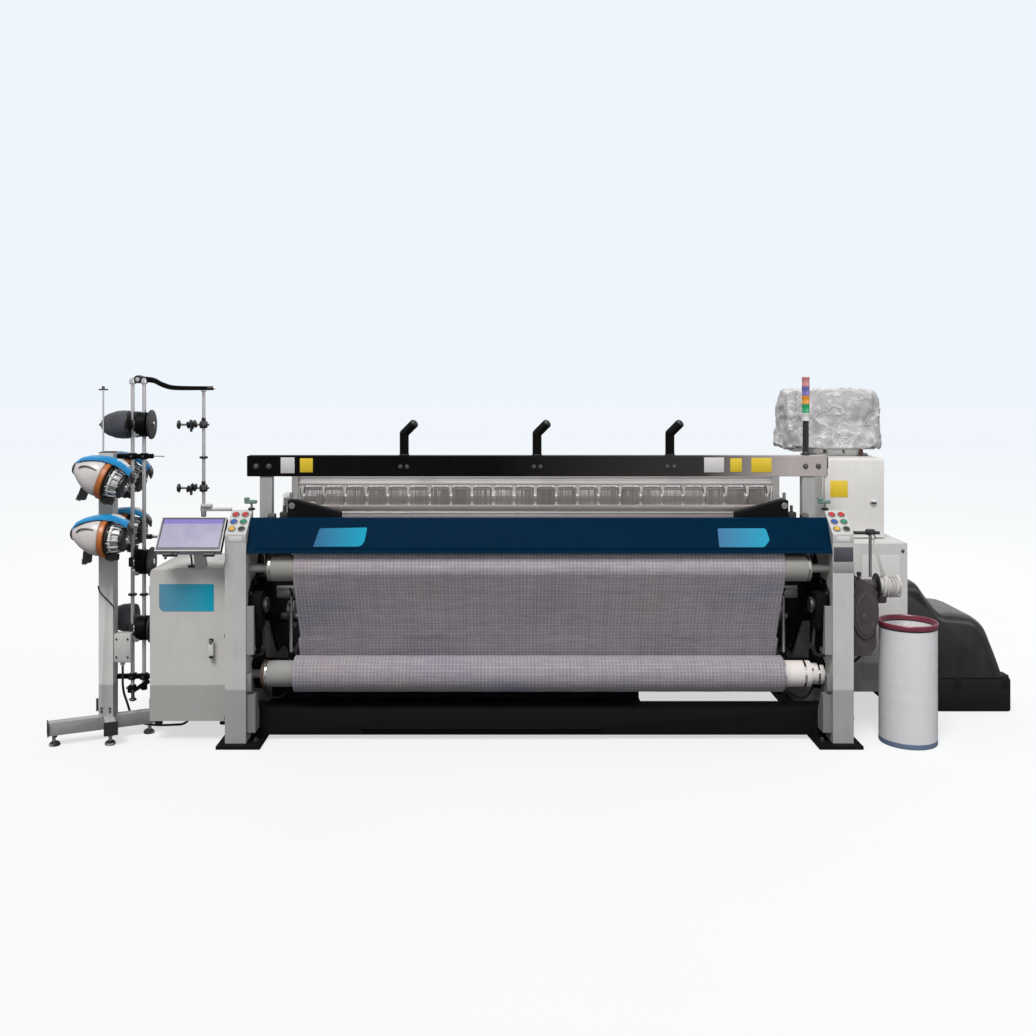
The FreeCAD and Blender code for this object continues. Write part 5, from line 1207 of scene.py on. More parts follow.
def make_cloth():
    lift = SOFT_GAP + CLOTH_T / 2
    low, high = span("cloth_web")
    nose = span("breast_beam")[0].y + NOSE_R
    nose_z = high.z - CLOTH_T - SOFT_GAP - NOSE_R
    roll_low, roll_high = span("cloth_winding")
    roll_r = (roll_high.z - roll_low.z) / 2
    line = belt(((high.y, high.z - CLOTH_T / 2, 0, 1), (nose, nose_z, NOSE_R + lift, 1),
        (TAKE_UP.y, TAKE_UP.z, ROLLER_R + lift, 1), (CLOTH_ROLL.y, CLOTH_ROLL.z, roll_r + lift, -1)))
    free_top, free_bottom = TAKE_UP.z - 30, CLOTH_ROLL.z + 30

    def slackened(x, y, z):
        slack = max(0.0, min(1.0, (free_top - z) / 90)) * max(0.0, min(1.0, (z - free_bottom) / 120))
        slack = slack if y < -600 else 0.0
        draw_in = 1.0 - 0.012 * slack * (free_top - z) / (free_top - free_bottom)
        wave = 1.6 * math.sin(x / 210 + 0.7) * math.sin(z / 95) + 0.9 * math.sin(x / 63 + z / 150)
        return Vector((x * draw_in, y - slack * wave, z))

    mesh, total = sheet_over("cloth", [line], high.x, 150, check_cloth, slackened)
    cloth = placed(mesh, "cloth_on_loom", "loom", ("cloth_web",))
    thicken(cloth)
    low, high = span("warp_sheet")
    mid = span("cloth_web")[1].z - CLOTH_T / 2
    rest, beam = middle("back_rest_roller"), middle("warp_winding")
    wound = (span("warp_winding")[1].z - span("warp_winding")[0].z) / 2
    front = [(low.y + (WARP_GAP[0] - low.y) * k / 8, mid) for k in range(9)]
    rear = belt(((WARP_GAP[1], mid, 0, -1), (rest.y, rest.z, ROLLER_R + lift, -1),
        (beam.y, beam.z, wound + lift, -1)))
    mesh, total = sheet_over("warp", [front, rear], high.x, 60, warp_cotton, lambda x, y,
        z: Vector((x, y, z)))
    warp = placed(mesh, "warp_between_rollers", "loom", ("warp_sheet",))
    thicken(warp)
    dress(roller_cover, "take_up_roller")
    # the wound roll, its ends built of turns, on its tube
    # The roll's cloth takes the darker copy of the check: painted shade.
    roll = Shape(wound_cloth_painted_shade, dark_yarn)
    profile = [(0, 60.4)]
    rings = 7
    for k in range(rings):
        r = 60.4 + (roll_r - 60.4) * (k + 0.5) / rings
        profile += [(0.6 if k % 2 else 0.0, r - 1.0), (0.0 if k % 2 else 1.4, r + 1.0)]
    length = roll_high.x - roll_low.x
    body = [(0.0, roll_r - 1.2), (1.2, roll_r)] + [(length * k / 40,
        roll_r - 0.5 + 0.5 * math.sin(k * 1.7)) for k in range(1, 40)]
    other = [(length - a, r) for a, r in reversed(profile)]
    profile += body + [(length - 1.2, roll_r), (length, roll_r - 1.2)] + other
    roll.ring(profile, (roll_low.x, CLOTH_ROLL.y, CLOTH_ROLL.z), TO_RIGHT, 0, 84)
    roll.done("cloth_on_roll", "cloth_roll", "checked_cloth", ("cloth_winding",))
    dress(tube_grey, "cloth_tube")
    ends = Shape(brown_ring, chrome, dark_steel)
    centre = (CLOTH_ROLL.y, CLOTH_ROLL.z)

    def ring(x, radius, thick, ink):
        ends.ring(((0, 60.2), (0, radius), (thick, radius), (thick, 60.2)), (x, *centre), TO_RIGHT, ink, 40)

    ring(-1288, 63.5, 10, 0)
    ring(-1272, 62.0, 5, 1)
    for x, radius, thick in ((1148, 61.4, 3), (1236, 63, 10)):
        ring(x, radius, thick, 1)
    ends.ring(((0, 48.2), (0, 52), (8, 52), (8, 48.2)), (1302, *centre), TO_RIGHT, 1, 32)
    for k in range(5):
        a = k * math.tau / 5
        y, z = centre[0] + 50 * math.cos(a), centre[1] + 50 * math.sin(a)
        ends.rod((1271, y, z), (1279, y, z), 6, 2, 10)
    ends.done("tube_rings_and_chuck", "cloth_roll", "tube_grey")
    collars = Shape(bare_steel, dark_steel)
    for side in (-1, 1):
        collars.ring(((0, 60.2), (0, 62), (9, 62), (9, 60.2)), (side * 1240 - 4.5, TAKE_UP.y, TAKE_UP.z),
            TO_RIGHT, 0, 40)
    collars.done("take_up_collars", "take_up_roller", "roller_cover")


make_cloth()


# ---- control cabinet and screen ---------------------------------------------
CABINET_LOW = span("control_cabinet")[0]
CABINET_LEFT = CABINET_LOW.x
CABINET_HIGH_Z = 802.0
DOOR_LOW, DOOR_HIGH = span("cabinet_door")
PLATE_X, PLATE_Z = (-1757, -1504), (607, 733)


def make_cabinet():
    left, right = CABINET_LEFT, DOOR_HIGH.x + 4
    softened("control_cabinet", "loom", cabinet_paint, 2.5)
    door = Shape(cabinet_paint, graded("blue_door_plate", (0.12, 0.29, 0.42), (0.006, 0.38, 0.54),
        *PLATE_X), black_rubber)
    x0, x1, y0, y1 = DOOR_LOW.x, DOOR_HIGH.x, DOOR_LOW.y, DOOR_HIGH.y
    z0, z1 = DOOR_LOW.z, DOOR_HIGH.z
    corner = [(x0 + 22 - 22 * math.cos(a),
        z1 - 22 + 22 * math.sin(a)) for a in (k * math.pi / 12 for k in range(7))]
    outline = [(x1, z0), (x1, z1)] + corner[::-1] + [(x0, z0)]
    door.plate(outline, "y", y0, y1, 3.0)
    (px0, px1), (pz0, pz1) = PLATE_X, PLATE_Z
    door.box((x0 + 12, x1 - 12), (y1 - 1, y1 + 2), (z0 + 14, z1 - 14), 1.0, 2)
    round_corner = [(px0 + 26 - 26 * math.cos(a),
        pz0 + 26 - 26 * math.sin(a)) for a in (k * math.pi / 12 for k in range(7))]
    plate = [(px1, pz0), (px1, pz1 - 3), (px1 - 3, pz1), (px0 + 3, pz1), (px0, pz1 - 3)] + round_corner
    door.plate(plate, "y", y0 - 1.2, y0, 0.5, 1)
    door.done("cabinet_door_panel", "cabinet_door", "cabinet_grey", ("cabinet_door",))
    low, high = span("cabinet_handle")
    handle = Shape(white_plate, black_plastic, bare_steel)
    handle.box((low.x + 1, high.x - 1), (low.y + 1, low.y + 9), (low.z + 12, high.z - 14), 3.0)
    handle.box((low.x + 4, high.x), (low.y, low.y + 10), (high.z - 17, high.z), 4.0, 1)
    handle.box((low.x + 4, high.x), (low.y + 2, low.y + 10), (low.z, low.z + 15), 4.0, 1)
    pin = joint("cabinet_handle_turn")["pos_m"]
    handle.rod((pin[0] / MM, low.y + 4, pin[2] / MM), (pin[0] / MM, high.y, pin[2] / MM), 6.0, 2)
    handle.turn(((0, 8), (2, 9), (4, 8)), (pin[0] / MM, low.y + 1, pin[2] / MM), TO_FRONT, 2)
    handle.done("door_handle_grip", "cabinet_handle", "black_plastic", ("cabinet_handle",))
    extras = Shape(cabinet_paint, black_rubber, dark_steel)
    for z in (180, 700):
        extras.rod((x0 - 0.5, y0 + 8, z - 22), (x0 - 0.5, y0 + 8, z + 22), 4.5, 2, 12)
    for k in range(9):
        z = 560 - k * 26
        extras.box((left - 1.6, left + 1), (-600, -320), (z, z + 9), 2.0)
    for x in (left + 30, right - 34):
        for y in (-640, -280):
            extras.turn(((0, 17), (5, 19), (10, 15)), (x, y, CABINET_LOW.z), (0, 0, -1), 1)
    extras.done("cabinet_louvres_and_feet", "loom", "cabinet_grey")


def screen_slope():
    """The screen's own slope: a function giving the point at (x, up the slope, out), and its length."""
    low_edge, high_edge = Vector((0, -810, 905)), Vector((0, -690, 1043))
    up = (high_edge - low_edge).normalized()
    out = Vector((0, -up.z, up.y))

    def at(x, along, proud):
        point = low_edge + up * along + out * proud
        return Vector((x, point.y, point.z))
    return at, (high_edge - low_edge).length


def make_screen():
    at, tall = screen_slope()
    low, high = span("touch_screen")
    glass = shader("screen_glass", Roughness=0.14, Coat_Weight=0.4, Coat_Roughness=0.05)
    material, t, surface = glass
    place = t.add("ShaderNodeTexCoord").outputs["Object"]
    z = t.add("ShaderNodeSeparateXYZ", {0: place}).outputs["Z"]
    speck = t.add("ShaderNodeTexNoise", {"Vector": place, "Scale": 12.0, "Detail": 2.0})
    page = t.mixed(t.ramp(speck.outputs[0], 0.4, 0.65), (0.33, 0.31, 0.46, 1), (0.40, 0.375, 0.50, 1))
    band = t.ramp(z, 1.0145, 1.0165)
    t.feed(surface.inputs["Base Color"], t.mixed(band, page, (0.20, 0.165, 0.50, 1)))
    t.feed(surface.inputs["Normal"], t.add("ShaderNodeBump", {"Strength": 0.02, "Distance": 0.0005,
        "Height": speck.outputs[0]}))
    screen = Shape(screen_frame_paint, bezel_black, material, black_plastic, bare_steel)

    def slab(x0, x1, s0, s1, p0, p1, edge, ink):
        rings = [[at(x, s, p) for x, s in ((x0, s0), (x1, s0), (x1, s1), (x0, s1))] for p in (p0, p1)]
        screen.add(loft(rings), edge, ink)

    slab(low.x, high.x, 0, tall, -30, -1.5, 5.0, 0)
    slab(low.x + 5, high.x - 5, 6, tall - 5, -2, 0, 1.0, 1)
    slab(low.x + 13, high.x - 13, 20, tall - 12, -0.5, 0.4, 0.3, 2)
    slab(low.x + 40, high.x - 40, 30, tall - 30, -44, -30, 6.0, 0)
    for k in range(10):
        slab(low.x + 60 + k * 18, low.x + 70 + k * 18, 50, tall - 50, -45.5, -43, 0.8, 3)
    for x0, x1 in ((-1706, -1650), (-1668, -1640), (-1520, -1472)):
        slab(x0, x1, -14, 4, -26, -8, 3.0, 3)
    screen.rod(at(-1690, -12, -17), at(-1690, -30, -17), 6, 3)
    screen.done("screen_panel", "touch_screen", "screen_case")
    post = joint("screen_tilt")["pos_m"]
    dress(screen_frame_paint, "touch_screen")
    joints = Shape(bare_steel, black_plastic, black_rubber)
    x = post[0] / MM
    for side in (-1, 1):
        joints.turn(((0, 13), (4, 14), (10, 11)), (x + side * 34, post[1] / MM, post[2] / MM), (side, 0, 0),
            0)
    joints.box((x - 60, x - 28), (-650, -610), (CABINET_HIGH_Z, CABINET_HIGH_Z + 10), 3.0, 1)
    joints.hose(((x - 44, -630, CABINET_HIGH_Z + 6), (x - 46, -640, CABINET_HIGH_Z + 50),
        (x - 50, -668, CABINET_HIGH_Z + 84)), 4.5, 2)
    joints.done("screen_post_fittings", "loom", "screen_case")


make_cabinet()
make_screen()


# ---- weft feeder stand ------------------------------------------------------
POST_X, POST_Y = (CABINET_LEFT - 243, CABINET_LEFT - 176), (-664.0, -597.0)
STAND_TOP = span("stand_frame")[1].z
CROSSBAR_Z = (282.0, STAND_TOP - 20.0)
ROD_X, ROD_Y = (CABINET_LEFT - 106, CABINET_LEFT - 52), -600.0
THIN_ROD = (POST_X[0] + 17, POST_Y[0] + 14)
SIDE_ROD = (span("left_side_frame")[0].x - 145, -572.0)
DISC_X, DISC_Z = CABINET_LEFT - 22, (1467, 821, 510)
CONE_X, CONES = ROD_X[0] - 17, ((ROD_Y, 1467), (-520, 540))


def make_stand():
    softened("stand_frame", "loom", grey_paint, 3.0)
    trim = Shape(black_rubber, dark_steel, grey_paint, feeder_blue, black_plastic)
    centre = Vector(((POST_X[0] + POST_X[1]) / 2, (POST_Y[0] + POST_Y[1]) / 2, 0))
    angle = math.radians(24.9)
    for reach, turn in (((262, 212), angle), ((124, 290), angle + math.pi / 2)):
        way = Vector((math.cos(turn), math.sin(turn), 0))
        cross = Vector((-way.y, way.x, 0))
        for distance in (-reach[0], reach[1]):
            sign = 1 if distance > 0 else -1
            a, b = distance - sign * 2, distance + sign * 3
            ring = [[centre + way * d + cross * w + Vector((0, 0, z)) for w, z in ((-31, 49), (31, 49),
                (31, 111), (-31, 111))] for d in (a, b)]
            trim.add(loft(ring), 3.0, 0)
            foot = centre + way * (distance - sign * 30)
            trim.turn(((0, 22), (4, 25), (14, 21), (20, 12)), foot, TO_TOP, 0)
            trim.turn(((0, 12), (9, 12)), foot + Vector((0, 0, 38)), TO_TOP, 1, 6)
    trim.box((POST_X[0] + 1, POST_X[1] - 1), (POST_Y[0] + 1, POST_Y[1] - 1), (STAND_TOP - 1, STAND_TOP + 4),
        2.0, 0)
    for z in (150, 135):
        for x in (POST_X[0] + 14, POST_X[1] - 14):
            trim.turn(((0, 6), (3, 6), (4, 4)), (x, POST_Y[0], z), TO_FRONT, 1, 12)
    # junction box face, its screws and the small blue yarn brake behind the post
    trim.box((-1978, -1902), (-658, -655), (364, 491), 1.5, 2)
    for x, z in ((-1966, 386), (-1966, 470), (-1914, 386), (-1914, 470)):
        trim.turn(((0, 5), (2.5, 5)), (x, -658, z), TO_FRONT, 1, 10)
    trim.turn(((0, 9), (6, 20), (30, 24), (52, 20), (66, 8)), (POST_X[0] - 4, -580, 742), (0.1, 0, 1), 3,
        20)
    trim.rod((POST_X[0] + 4, -590, 775), (POST_X[0] - 16, -590, 775), 7, 4)
    trim.hose(((POST_X[0] - 1, -668, 720), (POST_X[0] + 10, -670, 690), (POST_X[1] - 10, -668, 640),
        (POST_X[1] + 2, -655, 610)), 3.0, 0)
    trim.done("stand_trim", "loom", "black_plastic")
    make_rods()
    make_bobbins()
    make_feeders()


def make_rods():
    rods = Shape(bright_steel, black_plastic, dark_steel, chrome, black_paint)
    sx, sy = SIDE_ROD
    for x in ROD_X:
        rods.rod((x, ROD_Y, 220), (x, ROD_Y, 1686), 9, 0, 18)
    rods.rod((sx, sy, 802), (sx, sy, 1640), 8, 0, 18)
    x, y = THIN_ROD
    rods.rod((x, y, STAND_TOP), (x, y, 1640), 4, 0, 12)
    rods.turn(((0, 7), (14, 7)), (x, y, 1634), TO_TOP, 2, 12)
    rods.rod((x - 22, y, 1632), (x + 22, y, 1632), 3.5, 1, 10)
    # bent top arm with its knuckle and end pins
    arm = [(-1896, 1690), (-1850, 1689), (-1812, 1684), (-1780, 1668), (-1742, 1654), (-1700, 1649),
        (-1620, 1648), (-1560, 1648)]
    path = smooth_path([(x, -590, z - 10) for x, z in arm], 4)
    rings = []
    for i, p in enumerate(path):
        tall = 14 - 5 * i / len(path)
        rings.append([p + Vector((0, y, z * tall)) for y, z in ((-12, -0.6), (-8, -1), (8, -1), (12, -0.6),
            (12, 0.6), (8, 1), (-8, 1), (-12, 0.6))])
    rods.add(loft(rings), 0, 4)
    x = sum(ROD_X) / 2
    rods.rod((x, -612, 1680), (x, -566, 1680), 19, 1, 24)
    rods.rod((x, -615, 1680), (x, -610, 1680), 10, 3, 16)
    for x in ROD_X:
        rods.turn(((0, 14), (3, 16), (20, 16), (24, 12)), (x, ROD_Y, 1658), TO_TOP, 3)
    rods.turn(((0, 12), (3, 14), (18, 14), (22, 10)), (sx, sy, 1622), TO_TOP, 3)
    rods.rod((-1560, -590, 1638), (-1532, -590, 1638), 10, 1)
    rods.rod((-1532, -590, 1638), (-1524, -590, 1638), 6, 3)
    # cross bars, clamps and collars
    for z in CROSSBAR_Z:
        rods.box((POST_X[1], -1812), (ROD_Y - 11, ROD_Y + 11), (z - 11, z + 11), 3.0, 4)
        for x in ROD_X:
            rods.box((x - 16, x + 16), (ROD_Y - 17, ROD_Y + 17), (z - 15, z + 15), 4.0, 4)
            rods.turn(((0, 5.5), (5, 5.5)), (x, ROD_Y - 17, z), TO_FRONT, 2, 6)
    for x in ROD_X:
        rods.turn(((0, 15), (3, 21), (9, 21), (12, 15)), (x, ROD_Y, 661), TO_TOP, 1)
        rods.turn(((0, 13), (3, 15), (20, 15), (23, 12)), (x, ROD_Y, 219), TO_TOP, 4)
    rods.box((-1930, -1896), (-618, -582), (206, 240), 5.0, 4)
    rods.plate(((-1920, 214), (-1902, 206), (-1826, 252), (-1836, 272)), "y", -616, -600, 3.0, 4)
    rods.rod((-1905, -612, 168), (-1905, -612, 220), 8, 2)
    rods.turn(((0, 17), (5, 19), (10, 14)), (-1905, -612, 172), TO_TOP, 1, 6)
    rods.rod((-1938, -604, 228), (-1912, -604, 228), 6, 2)
    # guide discs with their hubs
    for z in DISC_Z:
        rods.turn(((0, 64), (2, 69), (6, 70), (10, 68), (12, 60)), (DISC_X, ROD_Y, z), TO_RIGHT, 1, 44)
        rods.turn(((0, 44), (4, 55), (10, 58), (46, 58), (52, 55), (56, 44)), (DISC_X - 62, ROD_Y, z),
            (1, 0, 0), 4, 40)
        rods.turn(((0, 13), (5, 13), (8, 8)), (DISC_X + 12, ROD_Y, z), TO_RIGHT, 3, 20)
        rods.box((ROD_X[0] - 15, ROD_X[1] + 15), (ROD_Y - 19, ROD_Y + 12), (z - 22, z + 22), 6.0, 1)
        rods.box((ROD_X[0] + 10, ROD_X[1] - 10), (ROD_Y - 26, ROD_Y - 18), (z - 16, z + 16), 3.0, 3)
        rods.box((ROD_X[0] + 12, ROD_X[1] - 12), (ROD_Y - 20, ROD_Y), (z + 24, z + 62), 5.0, 1)
        rods.turn(((0, 16), (5, 18), (14, 12)), (ROD_X[0] + 27, ROD_Y - 26, z - 42), TO_FRONT, 3, 20)
        rods.rod((ROD_X[0] + 27, ROD_Y - 8, z - 60), (ROD_X[0] + 27, ROD_Y - 8, z - 20), 7, 2)
    # yarn tensioners on the side rod
    for z, turn in ((1465, 0.2), (1165, -0.2)):
        rods.rod((sx - 125, sy, z), (sx + 26, sy, z), 5, 2, 12)
        rods.turn(((0, 16), (4, 21), (10, 21), (14, 12)), (sx - 124, sy, z), TO_RIGHT, 1, 24)
        for k, radius in ((0, 15), (1, 22), (2, 17)):
            rods.turn(((0, radius), (4, radius + 3), (9, radius), (12, 8)), (sx - 78 + k * 17, sy,
                z + 3 * (k - 1)), (1, 0, turn), 1, 20)
        rods.box((sx - 17, sx + 17), (sy - 18, sy + 14), (z - 17, z + 17), 6.0, 1)
        rods.turn(((0, 11), (6, 13), (14, 9)), (sx + 8, sy - 18, z + 4), TO_FRONT, 2, 16)
        rods.box((sx - 9, sx + 9), (sy - 12, sy + 8), (z + 15, z + 34), 4.0, 1)
        rods.box((sx - 64, sx - 54), (sy - 8, sy + 8), (z - 34, z - 14), 3.0, 1)
    rods.turn(((0, 14), (3, 20), (9, 20), (12, 14)), (sx, sy, 1304), TO_TOP, 1)
    rods.box((sx - 13, sx + 40), (sy - 12, sy + 12), (1066, 1090), 4.0, 3)
    rods.box((sx - 15, sx + 134), (sy - 8, sy + 8), (1056, 1072), 3.0, 0)
    rods.rod((sx, sy, 1030), (sx, sy, 1062), 12, 3)
    rods.rod((-1760, ROD_Y, 1317), (-1856, ROD_Y, 1319), 2.2, 2, 8)
    for y, z in CONES:
        rods.rod((CONE_X - 133, y, z), (ROD_X[0] if y != ROD_Y else ROD_X[1], y, z), 6, 2, 14)
        rods.turn(((0, 4), (6, 9), (14, 12)), (CONE_X - 140, y, z), TO_RIGHT, 2, 14)
    y, z = CONES[1]
    rods.rod((ROD_X[0], ROD_Y, z), (ROD_X[0], y, z), 6, 2, 14)
    rods.done("stand_rods_and_guides", "loom", "bright_steel", ("stand_rods",))


def make_bobbins():
    wound = Shape(dark_yarn, black_plastic, dark_steel)
    for y, z in CONES:
        wound.ring(((-2, 8), (-2, 60), (1, 66), (24, 67), (56, 64), (92, 52), (112, 40), (120, 30),
            (124, 24), (125, 8)), (CONE_X, y, z), (-1, 0, 0), 0, 44)
        wound.ring(((-9, 8), (-9, 57), (-6, 64), (-2, 64), (-2, 8)), (CONE_X, y, z), (-1, 0, 0), 1, 44)
        wound.ring(((112, 6.4), (112, 18), (128, 14), (131, 10), (131, 6.4)), (CONE_X, y, z), (-1, 0, 0), 2,
            24)
    wound.done("wound_bobbins", "loom", "dark_yarn", ("yarn_cones",))


def make_feeders():
    """Four weft feeders, each built along its winding disc's axis."""
    body = Shape(feeder_shell, feeder_blue, black_plastic, drum_metal, white_plastic, dark_steel,
        grey_paint)
    for k in range(1, 5):
        turn = joint("feeder_ring_%d_turn" % k)
        place = Vector(turn["pos_m"]) / MM
        ahead = Vector(turn["axis"]).normalized()
        across = Vector((0, 1, 0))
        over = ahead.cross(across)
        if over.z < 0:
            over = -over

        def at(u, v, w):
            return place + ahead * u + across * v + over * w

        # egg-shaped housing, flatter on top, from the disc back to the nose
        rings = []
        for u, wide, high_r, low_r, shift in ((-13, 72, 78, 74, 0), (-16, 80, 86, 82, 0),
                (-30, 82, 88, 84, 0), (-55, 78, 86, 80, 0), (-80, 70, 80, 70, 1), (-105, 58, 70, 56, 3),
                (-126, 45, 57, 42, 6), (-142, 33, 42, 30, 8), (-151, 22, 28, 20, 9), (-155, 8, 12, 8, 9)):
            ring = []
            for i in range(32):
                a = i * math.tau / 32
                s, c = math.sin(a), math.cos(a)
                power = 0.86
                y = math.copysign(abs(c) ** power, c) * wide
                z = math.copysign(abs(s) ** power, s) * (high_r if s > 0 else low_r)
                ring.append(at(u, y, z + shift))
            rings.append(ring)
        body.add(loft(rings))
        # dark nose cap and a curved groove along the side
        body.add(loft([[at(u, y * r, z * r + 9) for y, z in ((math.cos(i * math.tau / 20),
            math.sin(i * math.tau / 20)) for i in range(20))] for u, r in ((-146, 33), (-152, 29),
            (-158, 20), (-160, 6))]), 0, 2)
        for side in (-1, 1):
            body.hose([at(u, side * y, z) for u, y, z in ((-118, 52, 22), (-104, 60, 36), (-84, 68, 44),
                (-58, 73, 46), (-34, 76, 44))], 3.0, 5, 8)
        # blue spine over the housing and the disc, down to a black front nose
        spine = ((-150, 22, 40), (-128, 44, 66), (-100, 52, 83), (-66, 52, 95), (-30, 46, 103),
            (6, 40, 108), (40, 36, 106), (72, 32, 96), (100, 28, 80))
        rings = []
        for i, (u, wide, top) in enumerate(spine):
            depth = 15 if u < -10 else 20
            rings.append([at(u, y * wide, top + z * depth) for y, z in ((-1, -1.1), (-0.94, -0.3),
                (-0.62, 0.0), (0, 0.12), (0.62, 0.0), (0.94, -0.3), (1, -1.1), (0.5, -0.9), (-0.5, -0.9))])
        body.add(loft(rings), 0, 1)
        body.add(loft([[at(u, y * wide, top + z) for y, z in ((-1, -24), (-0.8, 0), (0, 4), (0.8, 0),
            (1, -24), (0, -30))] for u, wide, top in ((70, 25, 92), (94, 28, 82), (112, 25, 66),
            (120, 16, 52))]), 2.0, 2)
        body.add(loft([[at(u, y * wide, top + z) for y, z in ((-1, -10), (-0.8, 0), (0.8, 0),
            (1, -10))] for u, wide, top in ((22, 18, 112), (52, 18, 109), (80, 16, 97))]), 1.5, 4)
        # storage drum of separate fingers, its end disc and the yarn brake ring
        body.ring(((13, 30), (13, 56), (18, 58), (60, 56), (72, 54), (72, 30)), place, ahead, 3, 36)
        for i in range(12):
            a = i * math.tau / 12
            y, z = math.cos(a), math.sin(a)
            body.hose([at(14, y * 60, z * 60), at(30, y * 63.5, z * 63.5), at(52, y * 62, z * 62),
                at(70, y * 57, z * 57), at(76, y * 48, z * 48)], 5.0, 3, 8)
        body.ring(((30, 56.5), (30, 66), (36, 67), (40, 66), (40, 56.5)), place, ahead, 4, 36)
        body.turn(((72, 46), (78, 55), (86, 57), (92, 50), (96, 34), (98, 14)), place, ahead, 2, 36)
        body.turn(((97, 0), (97, 20), (104, 16), (106, 0)), place, ahead, 3, 24)
        body.ring(((13.0, 66), (13, 74), (20, 76), (25, 74), (25, 66)), place, ahead, 2, 40)
        for i in range(8):
            a = i * math.tau / 8 + 0.2
            body.rod(at(24, math.cos(a) * 69, math.sin(a) * 69), at(30, math.cos(a) * 69, math.sin(a) * 69),
                4, 3, 8)
        # sensor block, clamp and lead under the housing
        body.add(loft([[at(u, v, w) for u, v in ((-92, -17), (-60, -17), (-60, 17),
            (-92, 17))] for w in (-118, -66)]), 5.0, 2)
        body.add(loft([[at(u, v, w) for u, v in ((-84, -13), (-64, -13), (-64, 13),
            (-84, 13))] for w in (-74, -60)]), 4.0, 4)
        body.add(loft([[at(u, v, w) for u, v in ((-96, -12), (-78, -12), (-78, 12),
            (-96, 12))] for w in (-128, -104)]), 3.0, 5)
        body.add(loft([[at(u, v, w) for u, v in ((10, -16), (64, -16), (64, 16), (10, 16))] for w in (-96,
            -70)]), 5.0, 2)
        body.add(loft([[at(u, v, w) for u, v in ((20, -12), (40, -12), (40, 12), (20, 12))] for w in (-104,
            -88)]), 3.0, 5)
        # arm from the post
        reach = (place.y + 30, POST_Y[0]) if place.y < POST_Y[0] else (POST_Y[1], place.y - 30)
        x = (POST_X[0] + POST_X[1]) / 2
        body.box((x - 19, x + 19), reach, (place.z - 17, place.z + 17), 4.0, 2)
        plate_y = (POST_Y[0] - 4, POST_Y[0]) if place.y < POST_Y[0] else (POST_Y[1], POST_Y[1] + 4)
        body.box((x - 30, x + 30), plate_y, (place.z - 28, place.z + 28), 3.0, 5)
        ring = Shape(orange_disc, drum_metal)
        ring.ring(((-11, 20.2), (-11, 30), (-7, 34), (-7, 72), (-11.5, 76), (-11.5, 87), (-9, 90), (9, 90),
            (11.5, 87), (11.5, 77), (7, 72), (7, 34), (11, 30), (11, 20.2)), place, ahead, 0, 56)
        side = ahead.cross(Z_AXIS).normalized()
        rise = side.cross(ahead)
        for i in range(3):
            a = i * math.tau / 3 + 0.5
            spot = place + (side * math.cos(a) + rise * math.sin(a)) * 82
            ring.rod(spot + ahead * 10, spot + ahead * 12.6, 3.2, 1, 12)
        ring.done("feeder_disc_%d" % k, "feeder_ring_%d" % k, "feeder_orange", ("feeder_ring_%d" % k,))
    body.turn(((0, 10), (4, 12), (30, 12), (34, 8)), (-1880, -505, 925), TO_RIGHT, 2, 16)
    body.rod((-1850, -505, 925), (-1806, -505, 925), 7, 3)
    body.done("weft_feeders", "loom", "feeder_grey", ("feeder_bodies",))


make_stand()


